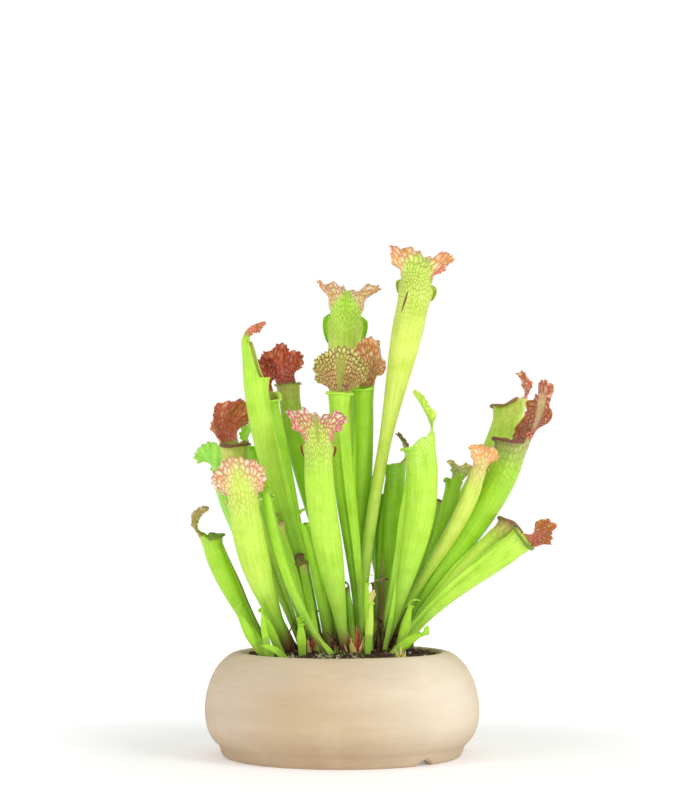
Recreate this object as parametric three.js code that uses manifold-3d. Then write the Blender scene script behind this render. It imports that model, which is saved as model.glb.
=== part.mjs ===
// A velvet pitcher plant in a low clay bowl, in millimetres, +Z up.
//
// The bowl is one fired piece with a rounded rim, a stepped-in foot and arched drainage notches.
// Dark soil fills it. Out of the soil grow the crowns of a trumpet pitcher plant: every leaf is a
// hollow trumpet with a rolled lip and a frilled lid, or a short flat blade, and each is a piece of
// its own that stands in a hole in the soil. Everything is first placed from the bowl's axis, and
// the whole is then shifted so that the origin is the middle of its underside.

import * as THREE from "three";
import { mergeVertices } from "three/addons/utils/BufferGeometryUtils.js";
import Module from "manifold-3d";

const wasm = await Module();
wasm.setup();

// The bowl: radii and heights of its turned outline.
const SIDES = 40;
const BOWL_RADIUS = 109.5;
const BOWL_HEIGHT = 82.5;
const WALL = 11;
const FOOT_RADIUS = 97.5;
const FOOT_WIDTH = 10;
const FOOT_RECESS = 6;
const FLOOR_TOP = 15;
const DRAIN_RADIUS = 8;
const STEP = [
  [FOOT_RADIUS + 0.6, 9],
  [100.6, 11.5],
];
const BELLY = [
  [103.4, 14.5],
  [107.4, 22],
  [BOWL_RADIUS, 34],
  [108.8, 47],
  [105.6, 59.5],
  [100.6, 69.5],
  [96, 75],
  [91, 79.4],
  [86.4, 81.8],
];
const RIM = [
  [82, BOWL_HEIGHT],
  [79.4, 81.6],
  [78, 79.4],
];
const MOUTH_RADIUS = 77.5;
const RIM_FOOT = 76;
const NOTCH_WIDTH = 17;
const NOTCH_HEIGHT = 5;
const NOTCHES = 3;
const FIRST_NOTCH = -48;

// The soil: a mound that reaches the bowl's mouth, clear of the clay all round.
const GAP = 0.3;
const SOIL_EDGE = [77, 78.5];
const SOIL_TOP = [
  [71, 80.5],
  [56, 82.5],
  [36, 84.5],
];
const SOIL_MIDDLE = 85;

// Every leaf's foot stands at this height, and its wall and lid are this thick.
const FOOT_HEIGHT = 70;
const FOOT_TAPER = 0.62;
const LEAF_WALL = 0.9;
const HOLE_GAP = 0.35;
const LIP_FLARE = 1.5;
const LID_HALF_ARC = 72;
const LID_SPREAD = 132;
const HOLLOW_FROM = 0.52;
const DIP = 0.12;

const SOIL_COLOUR = 0x33231b;
const CLAY_COLOUR = 0xdcc8aa;
const LIME = 0xa8d83c;

// The leaves. route: equal steps along the leaf, from its foot in the soil to the middle of its
// mouth. stalk and mouth: widths. swell: where along the leaf the trumpet opens. face: compass
// angle of the mouth's open side, from +X towards +Y. The lid stands on the other side: wide and
// tall as if laid flat, lean: its angle off the leaf's line where it starts and where it ends, and
// between which shares of its height it turns, cup: how far its sides bend towards the mouth, in
// degrees, neck: width where it leaves the lip, middle: height of its widest part as a share,
// tilt: how many degrees it leans to its own side, notches: cuts in its edge, each as degrees from
// its top, depth as a share and width in degrees,
// hang: how far its side lobes come down, frill and waves: how far and how often its edge waves.
// dip: how much lower the mouth is in front than at the back, as a share of its width.
const PITCHERS = [
  {
    name: "pitcher_tallest",
    route: [[11, 2], [21, -2, 171], [39, -8, 273], [60, -14, 377]],
    stalk: 9.5, mouth: 27, swell: [0.55, 0.95], face: 80, roll: 0.55, dip: 0.4, tint: 0xc4e05a,
    lid: { wide: 52, tall: 34, neck: 22, middle: 0.55, lean: [0, 78], cup: -32, notches: [[24, 0.26, 10], [-28, 0.14, 8]], hang: 1.15, frill: 2.5, waves: 5 },
  },
  {
    name: "pitcher_wide_hooded",
    route: [[37, 31], [28, 34, 160], [8, 40, 252], [3, 43, 356]],
    stalk: 10.5, mouth: 27, swell: [0.25, 0.9], face: 88, roll: 0.9, dip: 0.7,
    lid: { wide: 52, tall: 29, neck: 25, middle: 0.72, lean: [0, 75, 0.2], cup: -30, notches: [[-17, 0.3, 9], [17, 0.3, 9]], hang: 0.7, frill: 2.2, waves: 5 },
  },
  {
    name: "pitcher_domed",
    route: [[12, -12], [11, -15, 143], [2, -15, 216], [-2, -12, 289]],
    stalk: 7.5, mouth: 17, swell: [0.12, 0.7], face: -88, roll: 0.6,
    lid: { wide: 47, tall: 38, neck: 34, middle: 0.48, lean: [-8, 24], cup: 38, hang: 1.45, frill: 1.2, waves: 5 },
  },
  {
    name: "pitcher_red_net",
    route: [[14, 15], [15, 13, 145], [16, 11, 220], [17, 9, 294]],
    stalk: 10, mouth: 18, swell: [0.2, 0.8], face: -140, roll: 0.6,
    lid: { wide: 48, tall: 41, neck: 30, middle: 0.5, lean: [-8, 20], cup: 35, hang: 1.25, frill: 1.8, waves: 5 },
  },
  {
    name: "pitcher_pink_front",
    route: [[3, -30], [-4, -38, 128], [-14, -45, 186], [-18, -51, 247]],
    stalk: 6.5, mouth: 22.5, swell: [0.05, 0.62], face: 90, roll: 0.45, dip: 0.45, tint: 0xbce25a,
    lid: { wide: 47, tall: 33, neck: 22, middle: 0.58, lean: [0, 78], tilt: -7, cup: -28, notches: [[-17, 0.24, 7], [17, 0.24, 7]], hang: 1.1, frill: 2, waves: 5 },
  },
  {
    name: "pitcher_yellow_left",
    route: [[-33, -20], [-54, -30, 115], [-69, -39, 159], [-77, -46, 203]],
    stalk: 7, mouth: 25, swell: [0.1, 0.72], face: 92, roll: 0.3, tint: 0xcbe85e,
    lid: { wide: 42, tall: 37, neck: 24, middle: 0.5, lean: [-5, 40], tilt: -4, cup: 15, hang: 1.65, frill: 1.5, waves: 5 },
  },
  {
    name: "pitcher_far_left",
    route: [[-50, -14], [-71, -19, 101], [-90, -24, 137], [-104, -29, 175]],
    stalk: 6, mouth: 17, swell: [0.15, 0.9], face: 0,
    lid: { wide: 22, tall: 28, neck: 6, middle: 0.6, lean: [-15, 75], cup: -60, frill: 1.8, waves: 5 },
  },
  {
    name: "pitcher_red_left",
    route: [[-26, 4], [-49, 4, 127], [-73, 8, 188], [-88, 10, 249]],
    stalk: 6, mouth: 22, swell: [0.2, 0.85], face: -38,
    lid: { wide: 46, tall: 39, neck: 20, middle: 0.5, lean: [-18, 30], tilt: -22, cup: 35, notches: [[-52, 0.2, 8], [8, 0.16, 7], [62, 0.22, 9]], frill: 2.5, waves: 5 },
  },
  {
    name: "pitcher_green_leftmost",
    route: [[-31, 21], [-60, 27, 125], [-87, 36, 182], [-101, 42, 230]],
    stalk: 5, mouth: 13, swell: [0.2, 0.9], face: 60,
    lid: { wide: 30, tall: 22, neck: 8, middle: 0.5, lean: [-40, 10], cup: -10, hang: 1.3, frill: 1.5, waves: 5 },
  },
  {
    name: "pitcher_green_hidden",
    route: [[-20, 24], [-42, 34, 128], [-62, 42, 188], [-75, 48, 247]],
    stalk: 5, mouth: 11, swell: [0.2, 0.9], face: -20,
    lid: { wide: 20, tall: 22, neck: 7, middle: 0.5, lean: [-5, 40], cup: -20, frill: 1.5, waves: 5 },
  },
  {
    name: "pitcher_tall_left",
    route: [[-16, -2], [-37, -9, 157], [-60, -12, 243], [-71, -14, 330]],
    stalk: 8.5, mouth: 19, swell: [0.05, 0.85], face: -8, roll: 0.3, dip: 1.6, tint: 0xa4dc40,
    lid: { wide: 26, tall: 26, neck: 15, middle: 0.5, lean: [10, 95], cup: 45, frill: 1.4, waves: 5 },
  },
  {
    name: "pitcher_olive_mouthed",
    route: [[-14, 12], [-31, 11, 143], [-46, 9, 216], [-62, 8, 289]],
    stalk: 9, mouth: 17, swell: [0.1, 0.85], face: -70, dip: 0.45,
    lid: { wide: 24, tall: 31, neck: 14, middle: 0.5, lean: [-5, 20], tilt: -12, cup: 20, frill: 2.5, waves: 5 },
  },
  {
    name: "pitcher_dark_red",
    route: [[3, 10], [-9, 18, 145], [-29, 27, 220], [-45, 33, 299]],
    stalk: 10, mouth: 18.5, swell: [0.2, 0.85], face: -68, roll: 0.4,
    lid: { wide: 38, tall: 34, neck: 17, middle: 0.5, lean: [-5, 12], cup: 15, notches: [[-35, 0.18, 9], [30, 0.15, 7], [70, 0.2, 8]], frill: 3, waves: 5 },
  },
  {
    name: "pitcher_bright_right",
    route: [[29, -16], [47, -18, 131], [61, -20, 191], [62, -21, 252]],
    stalk: 7, mouth: 25, swell: [0.1, 0.75], face: 180, dip: 0.3, tint: 0xa0dc38,
    lid: { wide: 22, tall: 39, neck: 7, middle: 0.45, lean: [8, 24], cup: -60, notches: [[-60, 0.35, 12], [70, 0.3, 10]], frill: 2, waves: 5 },
  },
  {
    name: "pitcher_spotted",
    route: [[26, 10], [35, 11, 124], [40, 12, 178], [44, 13, 232]],
    stalk: 8, mouth: 17, swell: [0.1, 0.7], face: -170,
    lid: { wide: 14, tall: 28, neck: 5, middle: 0.6, lean: [-5, 45], cup: -20, frill: 1, waves: 5 },
  },
  {
    name: "pitcher_veined_back",
    route: [[43, 16], [73, 26, 140], [114, 42, 210], [141, 54, 287]],
    stalk: 7, mouth: 26, swell: [0.1, 0.85], face: 186, dip: 0.3,
    lid: { wide: 20, tall: 26, neck: 6, middle: 0.55, lean: [0, 45], cup: -30, notches: [[-40, 0.25, 10], [40, 0.25, 10]], frill: 2.5, waves: 5 },
  },
  {
    name: "pitcher_veined_front",
    route: [[38, -6], [69, 3, 130], [110, 10, 190], [139, 14, 252]],
    stalk: 8, mouth: 27, swell: [0.1, 0.85], face: 200,
    lid: { wide: 44, tall: 53, neck: 26, middle: 0.5, lean: [-14, 10], tilt: -2, cup: 10, notches: [[-30, 0.12, 8], [40, 0.15, 8], [85, 0.18, 9]], hang: 2.4, frill: 3, waves: 5 },
  },
  {
    name: "pitcher_orange",
    route: [[32, 1], [55, 0, 124], [88, -6, 178], [109, -10, 229]],
    stalk: 5, mouth: 13.5, swell: [0.2, 0.8], face: 112, tint: 0xc8e050,
    lid: { wide: 26, tall: 21, neck: 13, middle: 0.5, lean: [0, 45], cup: -25, frill: 1.5, waves: 5 },
  },
  {
    name: "pitcher_grey_frilled",
    route: [[40, 7], [59, 12, 120], [78, 13, 170], [91, 15, 219]],
    stalk: 5, mouth: 13, swell: [0.2, 0.9], face: 130,
    lid: { wide: 28, tall: 18, neck: 11, middle: 0.55, lean: [0, 60], cup: -30, frill: 1.5, waves: 5 },
  },
  {
    name: "pitcher_leaning_back",
    route: [[39, -17], [65, -12, 110], [99, -5, 147], [137, 2, 183]],
    stalk: 7, mouth: 20, swell: [0.2, 0.95], face: 170,
    lid: null,
  },
  {
    name: "pitcher_leaning_front",
    route: [[36, -26], [64, -22, 108], [102, -22, 142], [145, -22, 173]],
    stalk: 7, mouth: 20, swell: [0.2, 0.95], face: -150,
    lid: { wide: 23, tall: 28, neck: 11, middle: 0.55, lean: [-10, 50], cup: 10, frill: 2, waves: 5 },
  },
  {
    name: "pitcher_brown_edged",
    route: [[36, 22], [55, 27, 134], [83, 34, 200]],
    stalk: 5, mouth: 14.6, swell: [0.2, 0.95], face: 120, lid: null,
  },
  {
    name: "pitcher_dark_green",
    route: [[49, 40], [71, 48, 130], [98, 56, 187]],
    stalk: 8, mouth: 14, swell: [0.1, 0.8], face: 180,
    lid: { wide: 16, tall: 16, neck: 8, middle: 0.5, lean: [0, 40], cup: -20, frill: 1, waves: 5 },
  },
  {
    name: "pitcher_small_upright",
    route: [[-8, -20], [-15, -26, 127], [-28, -32, 184]],
    stalk: 8.5, mouth: 11.5, swell: [0.05, 0.6], face: 10,
    lid: { wide: 11, tall: 21, neck: 3, middle: 0.55, lean: [-15, 110], cup: -20, frill: 0.5, waves: 5 },
  },
  {
    name: "pitcher_slender",
    route: [[0, -43], [-29, -44, 113], [-48, -42, 160], [-59, -38, 206]],
    stalk: 6, mouth: 8.5, swell: [0.1, 0.8], face: 60,
    lid: { wide: 13, tall: 14, neck: 6, middle: 0.5, lean: [0, 40], cup: -20, frill: 1, waves: 5 },
  },
  {
    name: "pitcher_yellow_short",
    route: [[-22, -10], [-34, -19, 127], [-51, -25, 185]],
    stalk: 4, mouth: 9, swell: [0.1, 0.9], face: -30,
    lid: { wide: 13, tall: 10, neck: 7, middle: 0.5, lean: [0, 80], cup: -20, frill: 1, waves: 5 },
  },
  {
    name: "pitcher_brown_mouthed",
    route: [[-15, -13], [-23, -18, 112], [-31, -21, 154]],
    stalk: 6, mouth: 9, swell: [0.1, 0.8], face: -60,
    lid: { wide: 10, tall: 8, neck: 6, middle: 0.5, lean: [-20, 30], cup: 0, frill: 0.8, waves: 5 },
  },
  {
    name: "pitcher_hidden_red",
    route: [[26, 18], [30, 20, 140], [29, 22, 208]],
    stalk: 7, mouth: 9.5, swell: [0.2, 0.9], face: -15,
    lid: { wide: 16, tall: 18, neck: 8, middle: 0.5, lean: [-10, 30], cup: 10, frill: 1, waves: 5 },
  },
];

// Young pitchers round the crowns, in the same terms.
const YOUNG = [
  {
    name: "young_hooked_left",
    route: [[-51, -35], [-67, -39, 91], [-80, -42, 114]],
    stalk: 7, mouth: 9, swell: [0.1, 0.8], face: 20,
    lid: { wide: 9, tall: 12, neck: 6, middle: 0.5, lean: [0, 90], cup: 10, frill: 0, waves: 2 },
  },
  {
    name: "young_left",
    route: [[-42, -32], [-52, -38, 93], [-61, -41, 114]],
    stalk: 6.5, mouth: 7, swell: [0.1, 0.8], face: -60,
    lid: { wide: 8, tall: 12, neck: 4, middle: 0.5, lean: [5, 105], cup: 10, frill: 0, waves: 2 },
  },
  {
    name: "young_front_left",
    route: [[-30, -44], [-31, -49, 90], [-32, -51, 107]],
    stalk: 5, mouth: 8, swell: [0.1, 0.8], face: -50,
    lid: { wide: 9, tall: 11, neck: 5, middle: 0.45, lean: [0, 100], cup: 20, frill: 0, waves: 2 },
  },
  {
    name: "young_dark_headed",
    route: [[11, -22], [7, -22, 103], [4, -23, 134]],
    stalk: 5.5, mouth: 8, swell: [0.2, 0.95], face: 180,
    lid: { wide: 9, tall: 11, neck: 4, middle: 0.5, lean: [0, 100], cup: 30, frill: 0, waves: 2 },
  },
  {
    name: "young_bent_hood",
    route: [[23, -27], [20, -28, 105], [19, -29, 138]],
    stalk: 4, mouth: 7, swell: [0.1, 0.8], face: 0,
    lid: { wide: 8, tall: 11, neck: 4, middle: 0.5, lean: [0, 100], cup: 0, frill: 0, waves: 2 },
  },
  {
    name: "young_front_bright",
    route: [[19, -42], [21, -43, 97], [23, -43, 123]],
    stalk: 4.5, mouth: 6.5, swell: [0.1, 0.6], face: -70, tint: 0xcdf04a,
    lid: { wide: 6, tall: 12, neck: 5, middle: 0.4, lean: [-5, 60], cup: 30, frill: 0, waves: 2 },
  },
  {
    name: "withered_pitcher",
    route: [[21, -7], [26, -9, 105], [26, -10, 138]],
    stalk: 4, mouth: 8, swell: [0.2, 0.9], face: 175, tint: 0x6f7a34,
    lid: { wide: 10, tall: 9, neck: 5, middle: 0.5, lean: [-60, -100], cup: -30, frill: 1, waves: 4 },
  },
  {
    name: "young_right",
    route: [[39, -33], [47, -34, 96], [54, -35, 121]],
    stalk: 4, mouth: 7, swell: [0.1, 0.8], face: 0,
    lid: { wide: 8, tall: 12, neck: 4, middle: 0.5, lean: [0, 120], cup: 20, frill: 0, waves: 2 },
  },
  {
    name: "young_low_right",
    route: [[31, -39], [46, -43, 88], [62, -46, 99]],
    stalk: 5, mouth: 8, swell: [0.05, 0.6], face: 150,
    lid: { wide: 9, tall: 11, neck: 5, middle: 0.5, lean: [0, 90], cup: 10, frill: 0, waves: 2 },
  },
];

// Flat pointed leaves with no trumpet: wide is the blade's greatest width.
const BLADES = [
  { name: "blade_left", route: [[-50, -45], [-59, -48, 95], [-62, -49, 122]], wide: 5.5, face: -90 },
  { name: "blade_low_left", route: [[-38, -50], [-50, -53, 86], [-64, -52, 90]], wide: 5, face: -90 },
  { name: "blade_middle_left", route: [[-16, -31], [-20, -31, 96], [-24, -30, 122]], wide: 5, face: -90 },
  { name: "blade_low_front", route: [[1, -50], [-8, -51, 84], [-19, -50, 97]], wide: 4.5, face: -90 },
  { name: "blade_green_tip", route: [[34, -6], [37, -7, 115], [39, -8, 160]], wide: 4, face: -90 },
  { name: "blade_right", route: [[30, -26], [38, -28, 107], [43, -28, 143]], wide: 3.5, face: -90 },
  { name: "blade_dry", route: [[28, 1], [31, -1, 115], [33, -3, 161]], wide: 6, face: -70, tint: 0xd9b98a },
];
const BLADE_THICKNESS = 1.4;
const BLADE_ROWS = [0, 0.25, 0.5, 0.75, 0.9];

// Crown buds: where each stands, its girth and height, and how many scales stand out of it.
const BUDS = [
  { name: "crown_bud_front", at: [10.5, -39], radius: 4, tall: 24, scales: 5, tint: 0xb03045 },
  { name: "crown_bud_left", at: [-24, -35], radius: 2.8, tall: 21, scales: 4, tint: 0xb86a45 },
  { name: "crown_bud_right", at: [45, -52], radius: 3, tall: 9, scales: 4, tint: 0xc98a6a },
];

// How finely each size of pitcher is made: facets round it, rows of its solid stalk and of its
// hollow part, rows and steps of its lid, and its wall.
const GROWN = {
  sides: 10,
  low: [0, 0.12, 0.3],
  high: [0.52, 0.76, 0.93, 1],
  lidRows: 3,
  lidSteps: 14,
  wall: LEAF_WALL,
};
const SLIGHT = {
  sides: 8,
  low: [0, 0.15, 0.35],
  high: [0.6, 0.85, 1],
  lidRows: 2,
  lidSteps: 10,
  wall: LEAF_WALL,
};
const SMALL = {
  sides: 6,
  low: [0, 0.25, 0.45],
  high: [0.65, 1],
  lidRows: 2,
  lidSteps: 4,
  wall: 0.7,
};

const radians = THREE.MathUtils.degToRad;
const mix = THREE.MathUtils.lerp;

// 0 below 0, 1 above 1, and smooth between.
function ease(x) {
  return THREE.MathUtils.smoothstep(x, 0, 1);
}

// The point at share t of the one smooth curve through all the points of a route.
function onRoute(route, t) {
  const last = route.length - 1;
  const point = new THREE.Vector3();
  route.forEach(([x, y, z = FOOT_HEIGHT], i) => {
    let weight = 1;
    for (let j = 0; j <= last; j += 1) {
      if (j !== i) weight *= (t * last - j) / (i - j);
    }
    point.addScaledVector(new THREE.Vector3(x, y, z), weight);
  });
  return point;
}

function detailOf(leaf) {
  if (YOUNG.includes(leaf)) return SMALL;
  return leaf.mouth < 14.5 ? SLIGHT : GROWN;
}

// Where a leaf is at t, and its own axes there: along it, to its open front and to its side.
function frameAt(leaf, t) {
  const step = 0.01;
  const centre = onRoute(leaf.route, t);
  const along = onRoute(leaf.route, t + step).sub(onRoute(leaf.route, t - step)).normalize();
  const face = radians(leaf.face);
  const front = new THREE.Vector3(Math.cos(face), Math.sin(face), 0);
  front.addScaledVector(along, -front.dot(along)).normalize();
  const side = new THREE.Vector3().crossVectors(front, along);
  return { centre, along, front, side };
}

// Half the width of the trumpet at t: thin at the foot, then the stalk, which swells to the mouth,
// with a waist below the lip.
function girth(leaf, t) {
  const swollen = ease((t - leaf.swell[0]) / (leaf.swell[1] - leaf.swell[0]));
  const waist = 1 - 0.06 * Math.exp(-(((t - 0.94) / 0.04) ** 2));
  const foot = mix(FOOT_TAPER, 1, ease(t / 0.16));
  return mix(leaf.stalk / 2, leaf.mouth / 2, swollen) * waist * foot;
}

// A point of the trumpet's wall. The angle is counted from the open front, and the lip flares
// there and fades out towards the back, where the lid stands.
function wallPoint(leaf, t, angle, inset) {
  const turn = Math.abs(Math.atan2(Math.sin(angle), Math.cos(angle)));
  const rise = leaf.route.at(-1)[2] - FOOT_HEIGHT;
  const sunk = (((leaf.dip ?? DIP) * leaf.mouth) / rise) * ease((radians(110) - turn) / radians(55));
  const share = t - sunk * Math.max(0, (t - HOLLOW_FROM) / (1 - HOLLOW_FROM));
  const { centre, along, front, side } = frameAt(leaf, share);
  const open = leaf.lid ? 1 - ease((turn - radians(94)) / radians(13)) : 1;
  const lip = t === 1 ? (LIP_FLARE * leaf.mouth * open) / 20 : 0;
  const radius = girth(leaf, share) + lip - inset;
  return centre
    .addScaledVector(front, radius * Math.cos(angle))
    .addScaledVector(side, radius * Math.sin(angle))
    .addScaledVector(along, lip * 0.5);
}

// A point of the lid. u and v are millimetres on the flat lid, across it and up from the lip, and
// push moves the point off the sheet, towards the mouth.
function lidPoint(leaf, u, v, push) {
  const { lid } = leaf;
  const { centre, along, front, side } = frameAt(leaf, 1);
  const back = girth(leaf, 1);
  const [first, last, from = 0, by = 1] = lid.lean;
  const start = radians(first);
  const bend = radians(last - first) / ((by - from) * lid.tall);
  const before = Math.min(v, from * lid.tall);
  const curved = THREE.MathUtils.clamp(v - before, 0, (by - from) * lid.tall);
  const after = v - before - curved;
  const lean = start + bend * curved;
  const rise =
    before * Math.cos(start) + (Math.sin(lean) - Math.sin(start)) / bend + after * Math.cos(lean);
  const reach =
    before * Math.sin(start) + (Math.cos(start) - Math.cos(lean)) / bend + after * Math.sin(lean);
  const clear = ease(Math.max(v / lid.tall / 0.45, (Math.abs(u) / back - 1.3) / 0.7));
  const curl = mix(1 / back, radians(lid.cup) / (lid.wide / 2), clear);
  const curve = Math.abs(curl) < 1e-4 ? 1e-4 : curl;
  const across = Math.sin(curve * u) / curve;
  const hollow = (1 - Math.cos(curve * u)) / curve;
  const inwards = new THREE.Vector3()
    .addScaledVector(front, Math.cos(lean))
    .addScaledVector(along, -Math.sin(lean));
  return centre
    .addScaledVector(front, reach - back)
    .addScaledVector(along, rise)
    .addScaledVector(side, across - push * Math.sin(curve * u))
    .addScaledVector(inwards, hollow + push * Math.cos(curve * u));
}

// Where the lid's point lies on the flat: x runs from its left edge to its right, -1 to 1, and q
// from the lip to the frilled edge, 0 to 1.
function lidFlat(leaf, x, q) {
  const { lid } = leaf;
  const degrees = LID_SPREAD * x;
  const turn = radians(degrees);
  let scallop = 1 + 0.05 * Math.cos(lid.waves * turn);
  for (const [place, depth, width] of lid.notches ?? []) {
    scallop -= depth * q * Math.exp(-(((degrees - place) / width) ** 2));
  }
  const down = lid.middle * (lid.hang ?? 0.85);
  const reach = lid.tall * (Math.cos(turn) > 0 ? 1 - lid.middle : down);
  const lip = [radians(LID_HALF_ARC) * girth(leaf, 1) * x, 0];
  const neck = [(lid.neck / 2) * x, lid.tall * lid.middle * 0.6];
  const edge = [
    (lid.wide / 2) * Math.sin(turn) * scallop,
    lid.tall * lid.middle + reach * Math.cos(turn) * scallop,
  ];
  const blend = (a, b, c) => (1 - q) ** 2 * a + 2 * q * (1 - q) * b + q * q * c;
  return {
    u: blend(lip[0], neck[0], edge[0]) + Math.tan(radians(lid.tilt ?? 0)) * blend(0, neck[1], edge[1]),
    v: blend(lip[1], neck[1], edge[1]),
    ruffle: lid.frill * q * q * Math.sin(lid.waves * turn + 0.6),
  };
}

// A body's points and faces while it is being made.
class Skin {
  points = [];
  faces = [];

  point(p) {
    this.points.push(p);
    return this.points.length - 1;
  }

  // A strip of faces between two rows of the same length.
  band(lower, upper, into = this.faces) {
    for (let i = 0; i + 1 < lower.length; i += 1) {
      into.push([lower[i], upper[i + 1], lower[i + 1]], [lower[i], upper[i], upper[i + 1]]);
    }
  }

  // A strip between rows of any length, each spread evenly over the same span.
  stitch(lower, upper, into) {
    let i = 0;
    let j = 0;
    while (i + 1 < lower.length || j + 1 < upper.length) {
      const low = (i + 1) / (lower.length - 1);
      const high = (j + 1) / (upper.length - 1);
      if (j + 1 >= upper.length || (i + 1 < lower.length && low < high)) {
        into.push([lower[i], upper[j], lower[i + 1]]);
        i += 1;
      } else {
        into.push([lower[i], upper[j], upper[j + 1]]);
        j += 1;
      }
    }
  }

  fan(row, middle, turned) {
    for (let i = 0; i + 1 < row.length; i += 1) {
      this.faces.push(turned ? [row[i + 1], row[i], middle] : [row[i], row[i + 1], middle]);
    }
  }

  // Adds a sheet, the same sheet turned round on its partner points, and the edge between them.
  // Edges whose ends are both in open stay open.
  doubled(sheet, partner, open) {
    const seen = new Set(sheet.flatMap(([a, b, c]) => [`${a} ${b}`, `${b} ${c}`, `${c} ${a}`]));
    for (const [a, b, c] of sheet) {
      this.faces.push([a, b, c], [partner.get(c), partner.get(b), partner.get(a)]);
      for (const [from, to] of [[a, b], [b, c], [c, a]]) {
        if (seen.has(`${to} ${from}`) || (open.has(from) && open.has(to))) continue;
        this.faces.push([to, from, partner.get(from)], [to, partner.get(from), partner.get(to)]);
      }
    }
  }

  geometry() {
    const geometry = new THREE.BufferGeometry();
    const corners = this.points.flatMap((p) => p.toArray());
    geometry.setAttribute("position", new THREE.Float32BufferAttribute(corners, 3));
    geometry.setIndex(this.faces.flat());
    return geometry;
  }
}

// One pitcher: a hollow trumpet on a solid stalk, with its lid, all one closed skin.
function pitcherGeometry(leaf) {
  const { sides, low, high, lidRows, lidSteps, wall } = detailOf(leaf);
  const skin = new Skin();
  const sheet = [];
  const partner = new Map();
  const pair = (outer, inner) => {
    const number = skin.point(outer);
    partner.set(number, skin.point(inner));
    return number;
  };
  const angles = Array.from({ length: sides }, (_, i) => (2 * Math.PI * i) / sides);
  const loop = (row) => [...row, row[0]];
  const rings = high.map((t) =>
    angles.map((angle) => pair(wallPoint(leaf, t, angle, 0), wallPoint(leaf, t, angle, wall))),
  );
  for (let i = 0; i + 1 < rings.length; i += 1) skin.band(loop(rings[i]), loop(rings[i + 1]), sheet);

  if (leaf.lid) {
    const half = Math.floor(LID_HALF_ARC / (360 / sides) + 1e-6);
    const back = sides / 2;
    let row = rings.at(-1).slice(back - half, back + half + 1);
    const rimSpan = (half * 360) / sides / LID_HALF_ARC;
    for (let k = 1; k <= lidRows; k += 1) {
      const next = [];
      for (let i = 0; i <= lidSteps; i += 1) {
        const x = 1 - (2 * i) / lidSteps;
        const { u, v, ruffle } = lidFlat(leaf, k === lidRows ? x : x * mix(rimSpan, 1, k / lidRows), k / lidRows);
        next.push(pair(lidPoint(leaf, u, v, ruffle), lidPoint(leaf, u, v, ruffle + wall)));
      }
      if (row.length === next.length) skin.band(row, next, sheet);
      else skin.stitch(row, next, sheet);
      row = next;
    }
  }

  const bottom = rings[0];
  skin.doubled(sheet, partner, new Set(bottom));
  const hollowEnd = skin.point(frameAt(leaf, high[0] - 0.03).centre);
  skin.fan(loop(bottom.map((n) => partner.get(n))), hollowEnd, true);

  const stalk = low.map((t) => angles.map((angle) => skin.point(wallPoint(leaf, t, angle, 0))));
  const rows = [...stalk, bottom];
  for (let i = 0; i + 1 < rows.length; i += 1) skin.band(loop(rows[i]), loop(rows[i + 1]));
  skin.fan(loop(stalk[0]), skin.point(onRoute(leaf.route, low[0])), false);
  return skin.geometry();
}

// A flat pointed leaf: a thin lens in section that runs out to a point.
function bladeGeometry(leaf) {
  const skin = new Skin();
  const section = [0, 60, 120, 180, 240, 300].map(radians);
  const rows = BLADE_ROWS.map((t) => {
    const { centre, front, side } = frameAt(leaf, t);
    const half = (leaf.wide / 2) * (0.55 + 0.45 * Math.sin(Math.PI * Math.min(1, t + 0.15)));
    return section.map((angle) =>
      skin.point(
        centre
          .clone()
          .addScaledVector(front, (BLADE_THICKNESS / 2) * Math.cos(angle + Math.PI / 6))
          .addScaledVector(side, half * Math.sin(angle + Math.PI / 6)),
      ),
    );
  });
  for (let i = 0; i + 1 < rows.length; i += 1) {
    skin.band([...rows[i], rows[i][0]], [...rows[i + 1], rows[i + 1][0]]);
  }
  skin.fan([...rows[0], rows[0][0]], skin.point(onRoute(leaf.route, 0)), false);
  skin.fan([...rows.at(-1), rows.at(-1)[0]], skin.point(onRoute(leaf.route, 1)), true);
  return skin.geometry();
}

// A closed geometry as a solid for joins and cuts.
function solidOf(geometry) {
  const bare = new THREE.BufferGeometry();
  bare.setAttribute("position", geometry.getAttribute("position"));
  bare.setIndex(geometry.index);
  const merged = mergeVertices(bare, 1e-4);
  return new wasm.Manifold(
    new wasm.Mesh({
      numProp: 3,
      vertProperties: new Float32Array(merged.attributes.position.array),
      triVerts: new Uint32Array(merged.index.array),
    }),
  );
}

// A solid back as a geometry.
function geometryOf(solid) {
  const { vertProperties, triVerts } = solid.getMesh();
  const geometry = new THREE.BufferGeometry();
  geometry.setAttribute("position", new THREE.BufferAttribute(vertProperties, 3));
  geometry.setIndex(new THREE.BufferAttribute(triVerts, 1));
  return geometry;
}

// Turns a closed outline of [radius, height] points about the Z axis.
function turned(outline) {
  const points = [...outline, outline[0]].map(([r, z]) => new THREE.Vector2(r, z));
  const geometry = new THREE.LatheGeometry(points, SIDES);
  geometry.rotateX(Math.PI / 2);
  geometry.deleteAttribute("normal");
  geometry.deleteAttribute("uv");
  return geometry;
}

// The inside of the bowl's wall, from the mouth down to the floor.
function innerWall(clearance) {
  const hollow = BOWL_RADIUS - WALL - clearance;
  return [
    [MOUTH_RADIUS - clearance, RIM_FOOT],
    [hollow - 8, 66],
    [hollow, 42],
    [hollow - 6, 23],
    [hollow - 14, FLOOR_TOP + clearance],
  ];
}

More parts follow.
